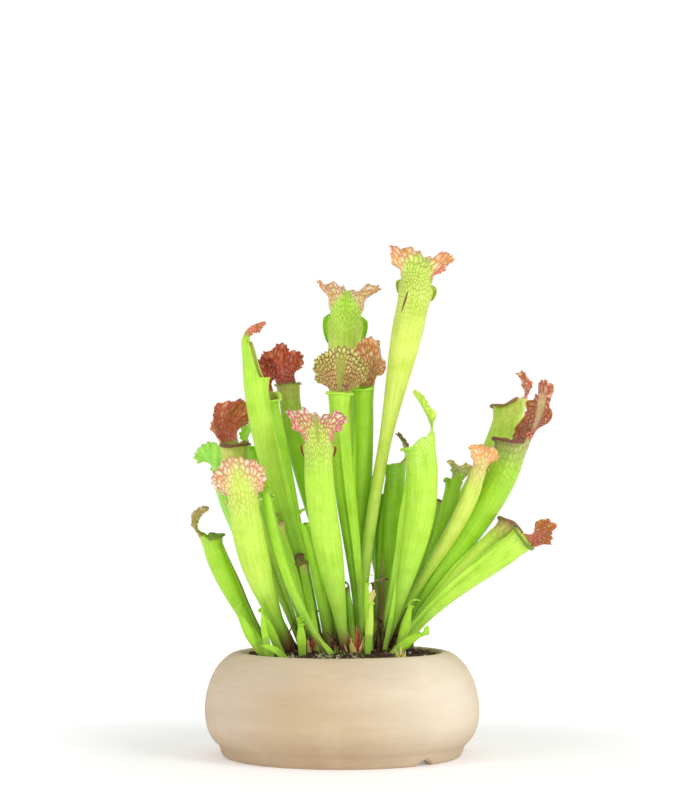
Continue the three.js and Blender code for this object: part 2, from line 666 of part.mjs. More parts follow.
function bowlGeometry() {
  const outside = new THREE.SplineCurve(BELLY.map(([r, z]) => new THREE.Vector2(r, z)))
    .getPoints(7)
    .map((p) => [p.x, p.y]);
  const body = solidOf(
    turned([
      [DRAIN_RADIUS, FOOT_RECESS],
      [FOOT_RADIUS - FOOT_WIDTH, FOOT_RECESS],
      [FOOT_RADIUS - FOOT_WIDTH, 0],
      [FOOT_RADIUS - 0.8, 0],
      ...STEP,
      ...outside,
      ...RIM,
      ...innerWall(0),
      [DRAIN_RADIUS, FLOOR_TOP],
    ]),
  );
  const arch = (NOTCH_HEIGHT ** 2 + (NOTCH_WIDTH / 2) ** 2) / (2 * NOTCH_HEIGHT);
  let bowl = body;
  for (let i = 0; i < NOTCHES; i += 1) {
    const cut = new THREE.CylinderGeometry(arch, arch, FOOT_WIDTH * 3, 24);
    cut.translate(0, FOOT_RADIUS - FOOT_WIDTH / 2, 0);
    cut.rotateZ(radians(FIRST_NOTCH - 90 + (i * 360) / NOTCHES));
    cut.translate(0, 0, NOTCH_HEIGHT - arch);
    bowl = bowl.subtract(solidOf(cut));
  }
  return geometryOf(bowl);
}

// The hole that a leaf's foot stands in: its own stalk, a little wider, up through the soil.
function holeSolid(leaf, low, halfWidth) {
  const skin = new Skin();
  const shares = [-0.4 / (leaf.route.at(-1)[2] - FOOT_HEIGHT)];
  for (const t of low.slice(1)) {
    if (onRoute(leaf.route, shares.at(-1)).z < SOIL_MIDDLE + 2) shares.push(t);
  }
  const corners = [0, 60, 120, 180, 240, 300].map(radians);
  const rows = shares.map((t) => {
    const { centre, front, side } = frameAt(leaf, t);
    const radius = (halfWidth(t) + HOLE_GAP) / Math.cos(Math.PI / 6);
    return corners.map((angle) =>
      skin.point(
        centre
          .clone()
          .addScaledVector(front, radius * Math.cos(angle))
          .addScaledVector(side, radius * Math.sin(angle)),
      ),
    );
  });
  const loop = (row) => [...row, row[0]];
  for (let i = 0; i + 1 < rows.length; i += 1) skin.band(loop(rows[i]), loop(rows[i + 1]));
  skin.fan(loop(rows[0]), skin.point(onRoute(leaf.route, shares[0])), false);
  skin.fan(loop(rows.at(-1)), skin.point(onRoute(leaf.route, shares.at(-1))), true);
  return solidOf(skin.geometry());
}

// A crown bud: a short stout core with pointed scales standing out of it all round.
function budSolid(bud) {
  const core = new THREE.SphereGeometry(1, 8, 6);
  core.rotateX(Math.PI / 2);
  core.scale(bud.radius, bud.radius, bud.tall * 0.55);
  core.translate(bud.at[0], bud.at[1], SOIL_MIDDLE - 5);
  let solid = solidOf(core);
  for (let i = 0; i < bud.scales; i += 1) {
    const scale = new THREE.ConeGeometry(bud.radius * 0.75, bud.tall, 5);
    scale.rotateX(Math.PI / 2);
    scale.scale(0.45, 1, 1);
    scale.rotateY(radians(14 + 5 * (i % 2)));
    scale.translate(bud.radius * 0.75, 0, bud.tall * (0.36 + 0.08 * (i % 3)));
    scale.rotateZ((2 * Math.PI * i) / bud.scales + 0.4);
    scale.translate(bud.at[0], bud.at[1], SOIL_MIDDLE - 5);
    solid = solid.add(solidOf(scale));
  }
  return solid;
}

// The hole a bud stands in: a plain drum round its core.
function budHole(bud) {
  const drum = new THREE.CylinderGeometry(bud.radius * 2, bud.radius * 2, 40, 8);
  drum.rotateX(Math.PI / 2);
  drum.translate(bud.at[0], bud.at[1], SOIL_MIDDLE - 5 - bud.tall * 0.55 - GAP + 20);
  return solidOf(drum);
}

function soilGeometry() {
  let soil = solidOf(
    turned([
      [0, FLOOR_TOP + GAP],
      ...innerWall(GAP).reverse(),
      SOIL_EDGE,
      ...SOIL_TOP,
      [0, SOIL_MIDDLE],
    ]),
  );
  for (const leaf of [...PITCHERS, ...YOUNG]) {
    soil = soil.subtract(holeSolid(leaf, detailOf(leaf).low, (t) => girth(leaf, Math.max(0, t))));
  }
  for (const leaf of BLADES) soil = soil.subtract(holeSolid(leaf, BLADE_ROWS, () => leaf.wide / 2));
  for (const bud of BUDS) soil = soil.subtract(budHole(bud));
  return geometryOf(soil);
}

const plant = new THREE.Group();

function add(name, geometry, color, roughness) {
  const mesh = new THREE.Mesh(geometry, new THREE.MeshStandardMaterial({ color, roughness, metalness: 0 }));
  mesh.name = name;
  plant.add(mesh);
}

add("clay_bowl", bowlGeometry(), CLAY_COLOUR, 0.85);
add("potting_soil", soilGeometry(), SOIL_COLOUR, 1);
for (const leaf of [...PITCHERS, ...YOUNG]) add(leaf.name, pitcherGeometry(leaf), leaf.tint ?? LIME, 0.5);
for (const leaf of BLADES) add(leaf.name, bladeGeometry(leaf), leaf.tint ?? LIME, 0.5);
for (const bud of BUDS) add(bud.name, geometryOf(budSolid(bud)), bud.tint, 0.6);

// The origin goes to the middle of the underside of the whole.
const reach = new THREE.Box3().setFromObject(plant);
const middle = reach.getCenter(new THREE.Vector3());
plant.position.set(-middle.x, -middle.y, -reach.min.z);

export default plant;
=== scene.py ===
# %% [markdown]
# A velvet pitcher plant in a low clay bowl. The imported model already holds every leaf, the soil
# and the bowl as plain solids at their real size. This file dresses them: a finely turned bowl,
# crumbly soil with litter on it, and leaves with rolled lips, frilled lids, wings and veins.

# %% Open the frame
import math

import bmesh
import bpy
import numpy as np
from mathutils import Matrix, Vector, noise


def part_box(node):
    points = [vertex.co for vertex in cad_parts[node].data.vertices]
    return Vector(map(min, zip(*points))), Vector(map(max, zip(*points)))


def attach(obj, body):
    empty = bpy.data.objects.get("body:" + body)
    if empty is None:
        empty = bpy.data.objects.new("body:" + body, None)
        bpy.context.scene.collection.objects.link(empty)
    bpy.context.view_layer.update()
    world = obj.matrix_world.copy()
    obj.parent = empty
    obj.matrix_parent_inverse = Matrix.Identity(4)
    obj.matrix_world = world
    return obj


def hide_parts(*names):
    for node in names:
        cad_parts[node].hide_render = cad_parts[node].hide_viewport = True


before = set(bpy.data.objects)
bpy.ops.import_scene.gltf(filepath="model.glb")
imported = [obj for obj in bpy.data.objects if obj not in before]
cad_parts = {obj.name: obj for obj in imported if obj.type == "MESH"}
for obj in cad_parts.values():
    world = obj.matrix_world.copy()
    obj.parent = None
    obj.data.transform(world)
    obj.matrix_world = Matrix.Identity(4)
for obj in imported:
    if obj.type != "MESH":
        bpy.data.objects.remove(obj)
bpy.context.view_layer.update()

# %% [markdown]
# A plant is measured best from the middle of its pot, in millimetres. Blender works in metres
# from the middle of the whole object's underside, so one function turns one into the other.

# %% From the bowl's own millimetres to the frame's metres
MM = 0.001
bowl_low, bowl_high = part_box("clay_bowl")
BOWL_AXIS = np.array([(bowl_low.x + bowl_high.x) / 2, (bowl_low.y + bowl_high.y) / 2, 0.0])


def metres(points):
    """Points in millimetres from the bowl's axis and underside, in the frame's metres."""
    return np.asarray(points, float) * MM + BOWL_AXIS


print("the bowl's axis stands at x = %.2f mm" % (BOWL_AXIS[0] / MM))

# %% [markdown]
# The photograph was taken from straight ahead, from about the height of the lowest lids, with a
# long lens that keeps the bowl's sides almost parallel. The lens is given as the distance from
# lens to picture, counted in pixels of a picture that is 800 pixels tall.

# %% Camera
CAMERA_AT = (6.4, -1650.0, 200.0)
CAMERA_TILT = math.radians(2.903)
PICTURE_HEIGHT = 800
FOCAL_PIXELS = 2051
SENSOR = 36.0


def put(name, data):
    """A new object in the scene, of a mesh, a camera or a light."""
    made = bpy.data.objects.new(name, data)
    bpy.context.scene.collection.objects.link(made)
    return made


view = bpy.data.cameras.new("photographers_view")
view.sensor_fit = "VERTICAL"
view.sensor_height = SENSOR
view.lens = SENSOR * FOCAL_PIXELS / PICTURE_HEIGHT
view.clip_end = 20
camera = put("photographers_view", view)
camera.location = metres(CAMERA_AT)
camera.rotation_euler = (math.pi / 2 + CAMERA_TILT, 0, 0)
bpy.context.scene.camera = camera
print("lens %.1f mm" % view.lens)

# %% [markdown]
# Every material is a small tree of nodes. Two helpers do the work for all of them: one turns the
# hex colours that a painter would pick on screen into the linear numbers that light needs, and
# one adds a node with its settings, joins its inputs and hands back one of its outputs. Some
# kinds of node and some sets of settings come back so often that they have short names.

# %% Colours and nodes
MATH = "ShaderNodeMath"
RANGE = "ShaderNodeMapRange"
MIX = "ShaderNodeMix"
VECTORS = "ShaderNodeVectorMath"
NOISE = "ShaderNodeTexNoise"
PRINCIPLED = "ShaderNodeBsdfPrincipled"
COLOURS = {"out": 2, "data_type": "RGBA"}
DARKER = {**COLOURS, "blend_type": "MULTIPLY"}
SOFTLY = {"interpolation_type": "SMOOTHSTEP"}
TIMES = {"operation": "MULTIPLY"}
TIMES_PLUS = {"operation": "MULTIPLY_ADD"}


def linear(colour):
    """A hex colour as seen on screen, as linear red, green, blue and a full alpha."""
    parts = [int(colour[i : i + 2], 16) / 255 for i in (1, 3, 5)]
    return [c / 12.92 if c <= 0.04045 else ((c + 0.055) / 1.055) ** 2.4 for c in parts] + [1.0]


def add(tree, kind, inputs=None, out=0, **settings):
    """Adds a node. An input is given by its name or number, as a value or as another's output."""
    node = tree.nodes.new(kind)
    for name, value in settings.items():
        setattr(node, name, value)
    for key, value in (inputs or {}).items():
        if isinstance(value, bpy.types.NodeSocket):
            tree.links.new(value, node.inputs[key])
        else:
            node.inputs[key].default_value = value
    return node.outputs[out] if node.outputs else None


def new_material(name):
    material = bpy.data.materials.new(name)
    material.use_nodes = True
    material.node_tree.nodes.clear()
    return material, material.node_tree


# %% [markdown]
# The studio is a round white table in a white room. The table carries a painted glow of its own,
# weak near the bowl and stronger towards its rim, which keeps the floor white where the lamps fall
# off. A large soft light stands at the right front and a weaker one at the left. The room is seen
# white but lights the plant less than that, so that round leaves keep their darker edges.

# %% Studio
ROOM_LIGHT = 0.62
ROOM_SEEN = 1.02
NEAR_PAINTED_GLOW = 0.2
FAR_PAINTED_GLOW = 0.62
PAINTED_GLOW_GROWS = (0.2, 0.6)
TABLE_RADIUS = 3.0
TABLE_SIDES = 64

bpy.context.scene.view_settings.view_transform = "Standard"
world = bpy.data.worlds.new("white_studio")
world.use_nodes = True
world.node_tree.nodes.clear()
seen = add(world.node_tree, "ShaderNodeLightPath", out="Is Camera Ray")
strength = add(world.node_tree, RANGE, {"Value": seen, 3: ROOM_LIGHT, 4: ROOM_SEEN})
sky = add(world.node_tree, "ShaderNodeBackground", {"Color": (1, 1, 1, 1), "Strength": strength})
add(world.node_tree, "ShaderNodeOutputWorld", {"Surface": sky})
bpy.context.scene.world = world

paper, paper_tree = new_material("white_table_painted_glow")
haze = add(paper_tree, NOISE, {"Scale": 3.0, "Detail": 2.0})
whites = {6: linear("#FAFAFA"), 7: linear("#F6F6F6")}
paper_tone = add(paper_tree, MIX, {0: haze, **whites}, **COLOURS)
across = add(paper_tree, "ShaderNodeTexCoord", out="Object")
across = add(paper_tree, VECTORS, {0: across}, "Value", operation="LENGTH")
# The table's emission is painted light: weak near the bowl and stronger towards the rim, so that the
# floor stays white where the lamps fall off.
painted_glow = {0: across, 1: PAINTED_GLOW_GROWS[0], 2: PAINTED_GLOW_GROWS[1], 3: NEAR_PAINTED_GLOW, 4: FAR_PAINTED_GLOW}
painted_glow = add(paper_tree, RANGE, painted_glow)
table = {"Base Color": paper_tone, "Roughness": 0.9}
table = {**table, "Emission Color": (1, 1, 1, 1), "Emission Strength": painted_glow}
table = add(paper_tree, PRINCIPLED, table)
add(paper_tree, "ShaderNodeOutputMaterial", {"Surface": table})
ring = [2 * math.pi * i / TABLE_SIDES for i in range(TABLE_SIDES)]
ring = [(TABLE_RADIUS * math.cos(a), TABLE_RADIUS * math.sin(a), 0) for a in ring]
floor_mesh = bpy.data.meshes.new("studio_floor")
floor_mesh.from_pydata(ring, [], [list(range(TABLE_SIDES))])
floor_mesh.materials.append(paper)
floor = put("studio_floor", floor_mesh)


def soft_light(name, at, size, watts):
    """A square light that looks at the middle of the plant."""
    lamp = bpy.data.lights.new(name, "AREA")
    lamp.size = size
    lamp.energy = watts
    stand = put(name, lamp)
    stand.location = at
    stand.rotation_euler = (Vector((0, 0, 0.2)) - Vector(at)).to_track_quat("-Z", "Y").to_euler()


soft_light("key_light", (1.3, -1.3, 1.0), 0.8, 15)
soft_light("fill_light", (-1.3, -1.1, 0.9), 0.8, 6)
print("the table is %.0f m wide, and two lights stand round it" % (2 * TABLE_RADIUS))

# %% [markdown]
# The bowl is one piece of buff clay, thrown on a wheel: a low bulging belly, a thick rounded rim
# and a foot that steps in. A thing made by turning an outline is best made by turning it here
# too, so the outline is written as a list of radii and heights and Geometry Nodes turn it.

# %% The bowl's outline
SIDES = 176
BOWL_RADIUS = 109.5
BOWL_HEIGHT = 82.5
WALL = 11
FOOT_RADIUS = 97.5
FOOT_WIDTH = 10
FOOT_RECESS = 6
FLOOR_TOP = 15
DRAIN_RADIUS = 8
STEP = [(97.4, 7.2), (98, 8.6), (99.1, 10)]
BELLY = [
    (100.6, 11.3), (103.4, 14.5), (107.4, 22), (BOWL_RADIUS, 34), (108.8, 47), (105.6, 59.5),
    (100.6, 69.5), (96, 75), (91, 79.4), (86.4, 81.8), (82, BOWL_HEIGHT), (79.4, 81.6), (78, 79.4),
]
MOUTH_RADIUS = 77.5
RIM_FOOT = 76
NOTCH_WIDTH = 17
NOTCH_HEIGHT = 5
NOTCHES = 3
FIRST_NOTCH = -48
GAP = 0.3


def smooth_line(points, steps):
    """A smooth line through the points, with so many steps from each to the next."""
    p = np.array([points[0], *points, points[-1]], float)
    line = []
    for i in range(1, len(p) - 2):
        for t in np.arange(steps) / steps:
            a = 2 * p[i] + (p[i + 1] - p[i - 1]) * t
            b = (2 * p[i - 1] - 5 * p[i] + 4 * p[i + 1] - p[i + 2]) * t**2
            c = (3 * p[i] - p[i - 1] - 3 * p[i + 1] + p[i + 2]) * t**3
            line.append(tuple((a + b + c) / 2))
    return line + [tuple(points[-1])]


def inner_wall(clearance):
    """The inside of the bowl's wall, from the mouth down to the floor."""
    hollow = BOWL_RADIUS - WALL - clearance
    corners = [
        (MOUTH_RADIUS - clearance, RIM_FOOT),
        (hollow - 8, 66),
        (hollow, 42),
        (hollow - 6, 23),
        (hollow - 14, FLOOR_TOP + clearance),
    ]
    return smooth_line(corners, 6)


inner_foot = FOOT_RADIUS - FOOT_WIDTH
foot = [
    (DRAIN_RADIUS, FOOT_RECESS),
    (inner_foot - 1, FOOT_RECESS),
    (inner_foot, FOOT_RECESS - 1),
    (inner_foot, 0.5),
    (inner_foot + 0.5, 0),
    (FOOT_RADIUS - 4, 0),
    (FOOT_RADIUS - 2.8, 0.8),
    (FOOT_RADIUS - 1.2, 3.6),
]
bowl_outline = foot + STEP + smooth_line(BELLY, 5) + inner_wall(0) + [(DRAIN_RADIUS, FLOOR_TOP)]
print("the bowl's outline has", len(bowl_outline), "points")

# %% [markdown]
# Geometry Nodes trees are built here like materials. One function starts a tree with a named
# input for each size, and one ends it. A third runs it on a mesh, with the inputs set by their
# identifiers, and keeps what comes out as a plain mesh.

# %% Geometry Nodes: starting, ending and running a tree


def start_tree(name, inputs):
    """A new tree and what it is given. inputs: (name, kind, value) for each named input."""
    tree = bpy.data.node_groups.new(name, "GeometryNodeTree")
    tree.interface.new_socket("Geometry", in_out="INPUT", socket_type="NodeSocketGeometry")
    tree.interface.new_socket("Geometry", in_out="OUTPUT", socket_type="NodeSocketGeometry")
    for label, kind, value in inputs:
        kind = "NodeSocket" + kind
        socket = tree.interface.new_socket(label, in_out="INPUT", socket_type=kind)
        if value is not None:
            socket.default_value = value
    return tree, add(tree, "NodeGroupInput").node.outputs


def end_tree(tree, made, material):
    """The end of every tree: its instances are made real and get their material."""
    real = add(tree, "GeometryNodeRealizeInstances", {"Geometry": made})
    covered = add(tree, "GeometryNodeSetMaterial", {"Geometry": real, "Material": material})
    add(tree, "NodeGroupOutput", {0: covered})
    return tree


def run_tree(name, mesh, tree, values):
    """Runs a tree on a mesh, with its inputs set by their identifiers, and keeps a plain mesh."""
    carrier = put(name, mesh)
    modifier = carrier.modifiers.new(tree.name, "NODES")
    modifier.node_group = tree
    for item in tree.interface.items_tree:
        if item.in_out == "INPUT" and item.name in values:
            modifier[item.identifier] = values[item.name]
    carrier.update_tag()
    graph = bpy.context.evaluated_depsgraph_get()
    made = bpy.data.meshes.new_from_object(carrier.evaluated_get(graph))
    bpy.data.objects.remove(carrier)
    made.name = name
    return put(name, made)


# %% [markdown]
# The tree lays out a flat grid with one column for each side and one row for each point of the
# outline, and moves every grid point to where that point of the outline has turned to. The seams
# are merged.

# %% Turning the bowl


def turning_tree():
    tree, given = start_tree(
        "turned_bowl",
        [
            ("Sides", "Int", 64), ("Outline Points", "Int", 8),
            ("Notches", "Int", 4), ("Notch Radius", "Float", 0.01),
            ("Notch Lift", "Float", 0.0), ("Foot Radius", "Float", 0.09),
            ("Unevenness", "Float", 0.0), ("Axis", "Vector", None),
            ("Clay", "Material", None),
        ],
    )
    columns = add(tree, MATH, {0: given["Sides"], 1: 1.0}, operation="ADD")
    rows = add(tree, MATH, {0: given["Outline Points"], 1: 1.0}, operation="ADD")
    grid = add(tree, "GeometryNodeMeshGrid", {"Vertices X": columns, "Vertices Y": rows})
    number = add(tree, "GeometryNodeInputIndex")
    middle = add(tree, MATH, {0: number, 1: 0.5}, operation="ADD")
    passed = add(tree, MATH, {0: middle, 1: rows}, operation="DIVIDE")
    column = add(tree, MATH, {0: passed}, operation="FLOOR")
    before = add(tree, MATH, {0: column, 1: rows}, **TIMES)
    row = add(tree, MATH, {0: number, 1: before}, operation="SUBTRACT")
    point = add(tree, MATH, {0: row, 1: given["Outline Points"]}, operation="MODULO")
    share = add(tree, MATH, {0: column, 1: given["Sides"]}, operation="DIVIDE")
    turn = add(tree, MATH, {0: share, 1: 2 * math.pi}, **TIMES)
    place = add(tree, "GeometryNodeInputPosition")
    outline = {"Geometry": given["Geometry"], "Value": place, "Index": point}
    kind = {"data_type": "FLOAT_VECTOR", "domain": "POINT"}
    outline = add(tree, "GeometryNodeSampleIndex", outline, **kind)
    outline = add(tree, "ShaderNodeSeparateXYZ", {0: outline}).node.outputs
    cosine = add(tree, MATH, {0: turn}, operation="COSINE")
    sine = add(tree, MATH, {0: turn}, operation="SINE")
    x = add(tree, MATH, {0: outline[0], 1: cosine}, **TIMES)
    y = add(tree, MATH, {0: outline[0], 1: sine}, **TIMES)
    turned = add(tree, "ShaderNodeCombineXYZ", {0: x, 1: y, 2: outline[2]})
    lathe = add(tree, "GeometryNodeSetPosition", {"Geometry": grid, "Position": turned})
    closed = add(tree, "GeometryNodeMergeByDistance", {"Geometry": lathe, "Distance": 1e-6})
    return tree, given, closed


# %% [markdown]
# A wheel never turns quite true, so a low noise moves the belly a little. Then a few cylinders
# are taken away, which leaves the arched notches that let water out from under the foot.

# %% An uneven belly and the notches


def finish_bowl_tree():
    tree, given, closed = turning_tree()
    waver = add(tree, NOISE, {"Scale": 14.0, "Detail": 1.0})
    place = add(tree, "GeometryNodeInputPosition")
    height = add(tree, "ShaderNodeSeparateXYZ", {0: place}, "Z")
    off_foot = add(tree, RANGE, {"Value": height, 1: 0.01, 2: 0.03})
    swing = add(tree, MATH, {0: waver, 1: 0.5}, operation="SUBTRACT")
    amount = add(tree, MATH, {0: swing, 1: given["Unevenness"]}, **TIMES)
    amount = add(tree, MATH, {0: amount, 1: off_foot}, **TIMES)
    normal = add(tree, "GeometryNodeInputNormal")
    push = add(tree, VECTORS, {0: normal, 3: amount}, operation="SCALE")
    thrown = add(tree, "GeometryNodeSetPosition", {"Geometry": closed, "Offset": push})
    size = {"Vertices": 40, "Radius": given["Notch Radius"], "Depth": 0.03}
    drill = add(tree, "GeometryNodeMeshCylinder", size)
    circle = {"Vertices": given["Notches"], "Radius": given["Foot Radius"]}
    circle = add(tree, "GeometryNodeMeshCircle", circle)
    lying = add(tree, "FunctionNodeAlignRotationToVector", {"Factor": 1.0, "Vector": place}, axis="Z")
    drills = {"Points": circle, "Instance": drill, "Rotation": lying}
    drills = add(tree, "GeometryNodeInstanceOnPoints", drills)
    real = add(tree, "GeometryNodeRealizeInstances", {"Geometry": drills})
    lift = add(tree, "ShaderNodeCombineXYZ", {2: given["Notch Lift"]})
    placed = {"Geometry": real, "Translation": lift, "Rotation": (0, 0, math.radians(FIRST_NOTCH))}
    placed = add(tree, "GeometryNodeTransform", placed)
    cut = {"operation": "DIFFERENCE", "solver": "EXACT"}
    notched = add(tree, "GeometryNodeMeshBoolean", {"Mesh 1": thrown, "Mesh 2": placed}, **cut)
    moved = add(tree, "GeometryNodeTransform", {"Geometry": notched, "Translation": given["Axis"]})
    return end_tree(tree, moved, given["Clay"])


# %% [markdown]
# Unglazed buff earthenware: fine sandy clay, wiped with a wet sponge while it turned and fired
# without a glaze. It is matt and chalky, with long soft smears that run round the bowl, clouds,
# fine grit and a few pores. Towards the foot it is painted darker, as shade under the belly. Broad
# patches paint light and shade: paler where the key light falls at the right front, greyer on the
# dimmer left, darker and warmer low at the front. The list of patches gives the middle and reach of
# each in millimetres, its colour and strength.

# %% Buff earthenware
EARTHENWARE_IOR = 1.45
PAINTED_LIGHT_PATCHES = [
    ((85, -65, 52), 120, "#F4E6D0", 0.8),
    ((-88, -62, 40), 90, "#D6C4B2", 0.6),
    ((-38, -102, 40), 75, "#C2A57C", 0.65),
    ((5, -108, 28), 60, "#C6AC86", 0.5),
]


def buff_earthenware():
    material, tree = new_material("buff_earthenware")
    at = add(tree, "ShaderNodeTexCoord", out="Object")
    smear_map = add(tree, "ShaderNodeMapping", {"Vector": at, "Scale": (9, 9, 60)})
    smears = {"Vector": smear_map, "Scale": 1.0, "Detail": 6.0, "Roughness": 0.62}
    smears = add(tree, NOISE, smears)
    clouds = {"Vector": at, "Scale": 21.0, "Detail": 4.0, "Roughness": 0.55}
    clouds = add(tree, NOISE, clouds)
    grit = add(tree, NOISE, {"Vector": at, "Scale": 1100.0, "Detail": 2.0})
    pores = add(tree, "ShaderNodeTexVoronoi", {"Vector": at, "Scale": 160.0}, "Distance")
    streak = add(tree, RANGE, {"Value": smears, 1: 0.32, 2: 0.68})
    tone = add(tree, MIX, {0: streak, 6: linear("#C8B092"), 7: linear("#DDC9AC")}, **COLOURS)
    grey_share = add(tree, RANGE, {"Value": clouds, 1: 0.52, 2: 0.72, 4: 0.45})
    cloudy = add(tree, MIX, {0: grey_share, 6: tone, 7: linear("#CABAA6")}, **COLOURS)
    pale_share = add(tree, RANGE, {"Value": clouds, 1: 0.45, 2: 0.3, 4: 0.6})
    chalky = add(tree, MIX, {0: pale_share, 6: cloudy, 7: linear("#EADAC2")}, **COLOURS)
    # Each patch paints light or shade on the clay: paler at the right front, greyer at the left, darker
    # low at the front.
    for centre, reach, painted_tone, most in PAINTED_LIGHT_PATCHES:
        centre = BOWL_AXIS + Vector(centre) * MM
        away = add(tree, VECTORS, {0: at, 1: centre}, "Value", operation="DISTANCE")
        away = add(tree, MATH, {0: clouds, 1: 0.03, 2: away}, **TIMES_PLUS)
        near = add(tree, RANGE, {"Value": away, 1: reach * MM, 2: 0.0, 4: most}, **SOFTLY)
        chalky = add(tree, MIX, {0: near, 6: chalky, 7: linear(painted_tone)}, **COLOURS)
    height = add(tree, "ShaderNodeSeparateXYZ", {0: at}, "Z")
    # Painted shade: the clay darkens from 30 mm above the table down to the foot, under the belly's
    # overhang.
    painted_shade_low = add(tree, RANGE, {"Value": height, 1: 0.009, 2: 0.03, 3: 0.45, 4: 0.0})
    shaded_low = add(tree, MIX, {0: painted_shade_low, 6: chalky, 7: linear("#A88B6C")}, **COLOURS)
    pitted = add(tree, RANGE, {"Value": pores, 1: 0.04, 2: 0.1, 3: 0.25, 4: 0.0})
    speckled = add(tree, MIX, {0: pitted, 6: shaded_low, 7: linear("#9A7E62")}, **COLOURS)
    rough = add(tree, RANGE, {"Value": grit, 3: 0.75, 4: 0.92})
    rise = add(tree, MATH, {0: smears, 1: 1.5, 2: grit}, **TIMES_PLUS)
    relief = add(tree, MATH, {0: pitted, 1: -1.0, 2: rise}, **TIMES_PLUS)
    bump = add(tree, "ShaderNodeBump", {"Height": relief, "Strength": 0.35, "Distance": 0.0005})
    shader = {"Base Color": speckled, "Roughness": rough, "IOR": EARTHENWARE_IOR, "Normal": bump}
    shader = add(tree, PRINCIPLED, shader)
    add(tree, "ShaderNodeOutputMaterial", {"Surface": shader})
    return material


EARTHENWARE = buff_earthenware()
print("earthenware takes", len(EARTHENWARE.node_tree.nodes), "nodes")

# %% [markdown]
# Two more helpers come back for every piece. A turned or cut shape may be inside out in places,
# so one function turns its faces outwards. The other one says what a finished piece rides on and
# which of the plain solids it stands for.

# %% Finishing a piece


def facing_out(mesh):
    """Turns all faces of a closed mesh outwards."""
    work = bmesh.new()
    work.from_mesh(mesh)
    bmesh.ops.recalc_face_normals(work, faces=work.faces)
    work.to_mesh(mesh)
    work.free()


def keep(piece, nodes=()):
    """A finished piece rides with the plant and stands for the plain solids that it replaces."""
    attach(piece, "root")
    if nodes:
        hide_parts(*nodes)


# %% [markdown]
# Now the tree runs on a mesh that is only the outline's points. Each notch is the top of a round
# hole whose middle lies below the foot, so its radius follows from the notch's width and height.

# %% The bowl
ARCH = (NOTCH_HEIGHT**2 + (NOTCH_WIDTH / 2) ** 2) / (2 * NOTCH_HEIGHT)
outline_mesh = bpy.data.meshes.new("bowl_outline")
outline_mesh.from_pydata([(r * MM, 0, z * MM) for r, z in bowl_outline], [], [])
bowl = run_tree(
    "thrown_clay_bowl",
    outline_mesh,
    finish_bowl_tree(),
    {
        "Sides": SIDES,
        "Outline Points": len(bowl_outline),
        "Notches": NOTCHES,
        "Notch Radius": ARCH * MM,
        "Notch Lift": (NOTCH_HEIGHT - ARCH) * MM,
        "Foot Radius": (FOOT_RADIUS - FOOT_WIDTH / 2) * MM,
        "Unevenness": 0.9 * MM,
        "Axis": tuple(BOWL_AXIS),
        "Clay": EARTHENWARE,
    },
)
facing_out(bowl.data)
bowl.data.shade_smooth()
keep(bowl, ["clay_bowl"])
print("the bowl has", len(bowl.data.polygons), "faces")

# %% [markdown]
# The leaves come next. Each is written as the source writes it. route: equal steps along the
# leaf, from its foot in the soil to the middle of its mouth. swell: where along the leaf the
# trumpet opens. face: compass angle of the mouth's open side, from +X towards +Y. The lid stands
# on the other side, wide and tall as if laid flat. lean: its angle off the leaf's line where it
# starts and ends, cup: how far its sides bend towards the mouth, notches: cuts in its edge
# (degrees from its top, depth, width), middle: how far up it is widest, if not half-way, dip:
# how much lower the mouth is in front than at the back.

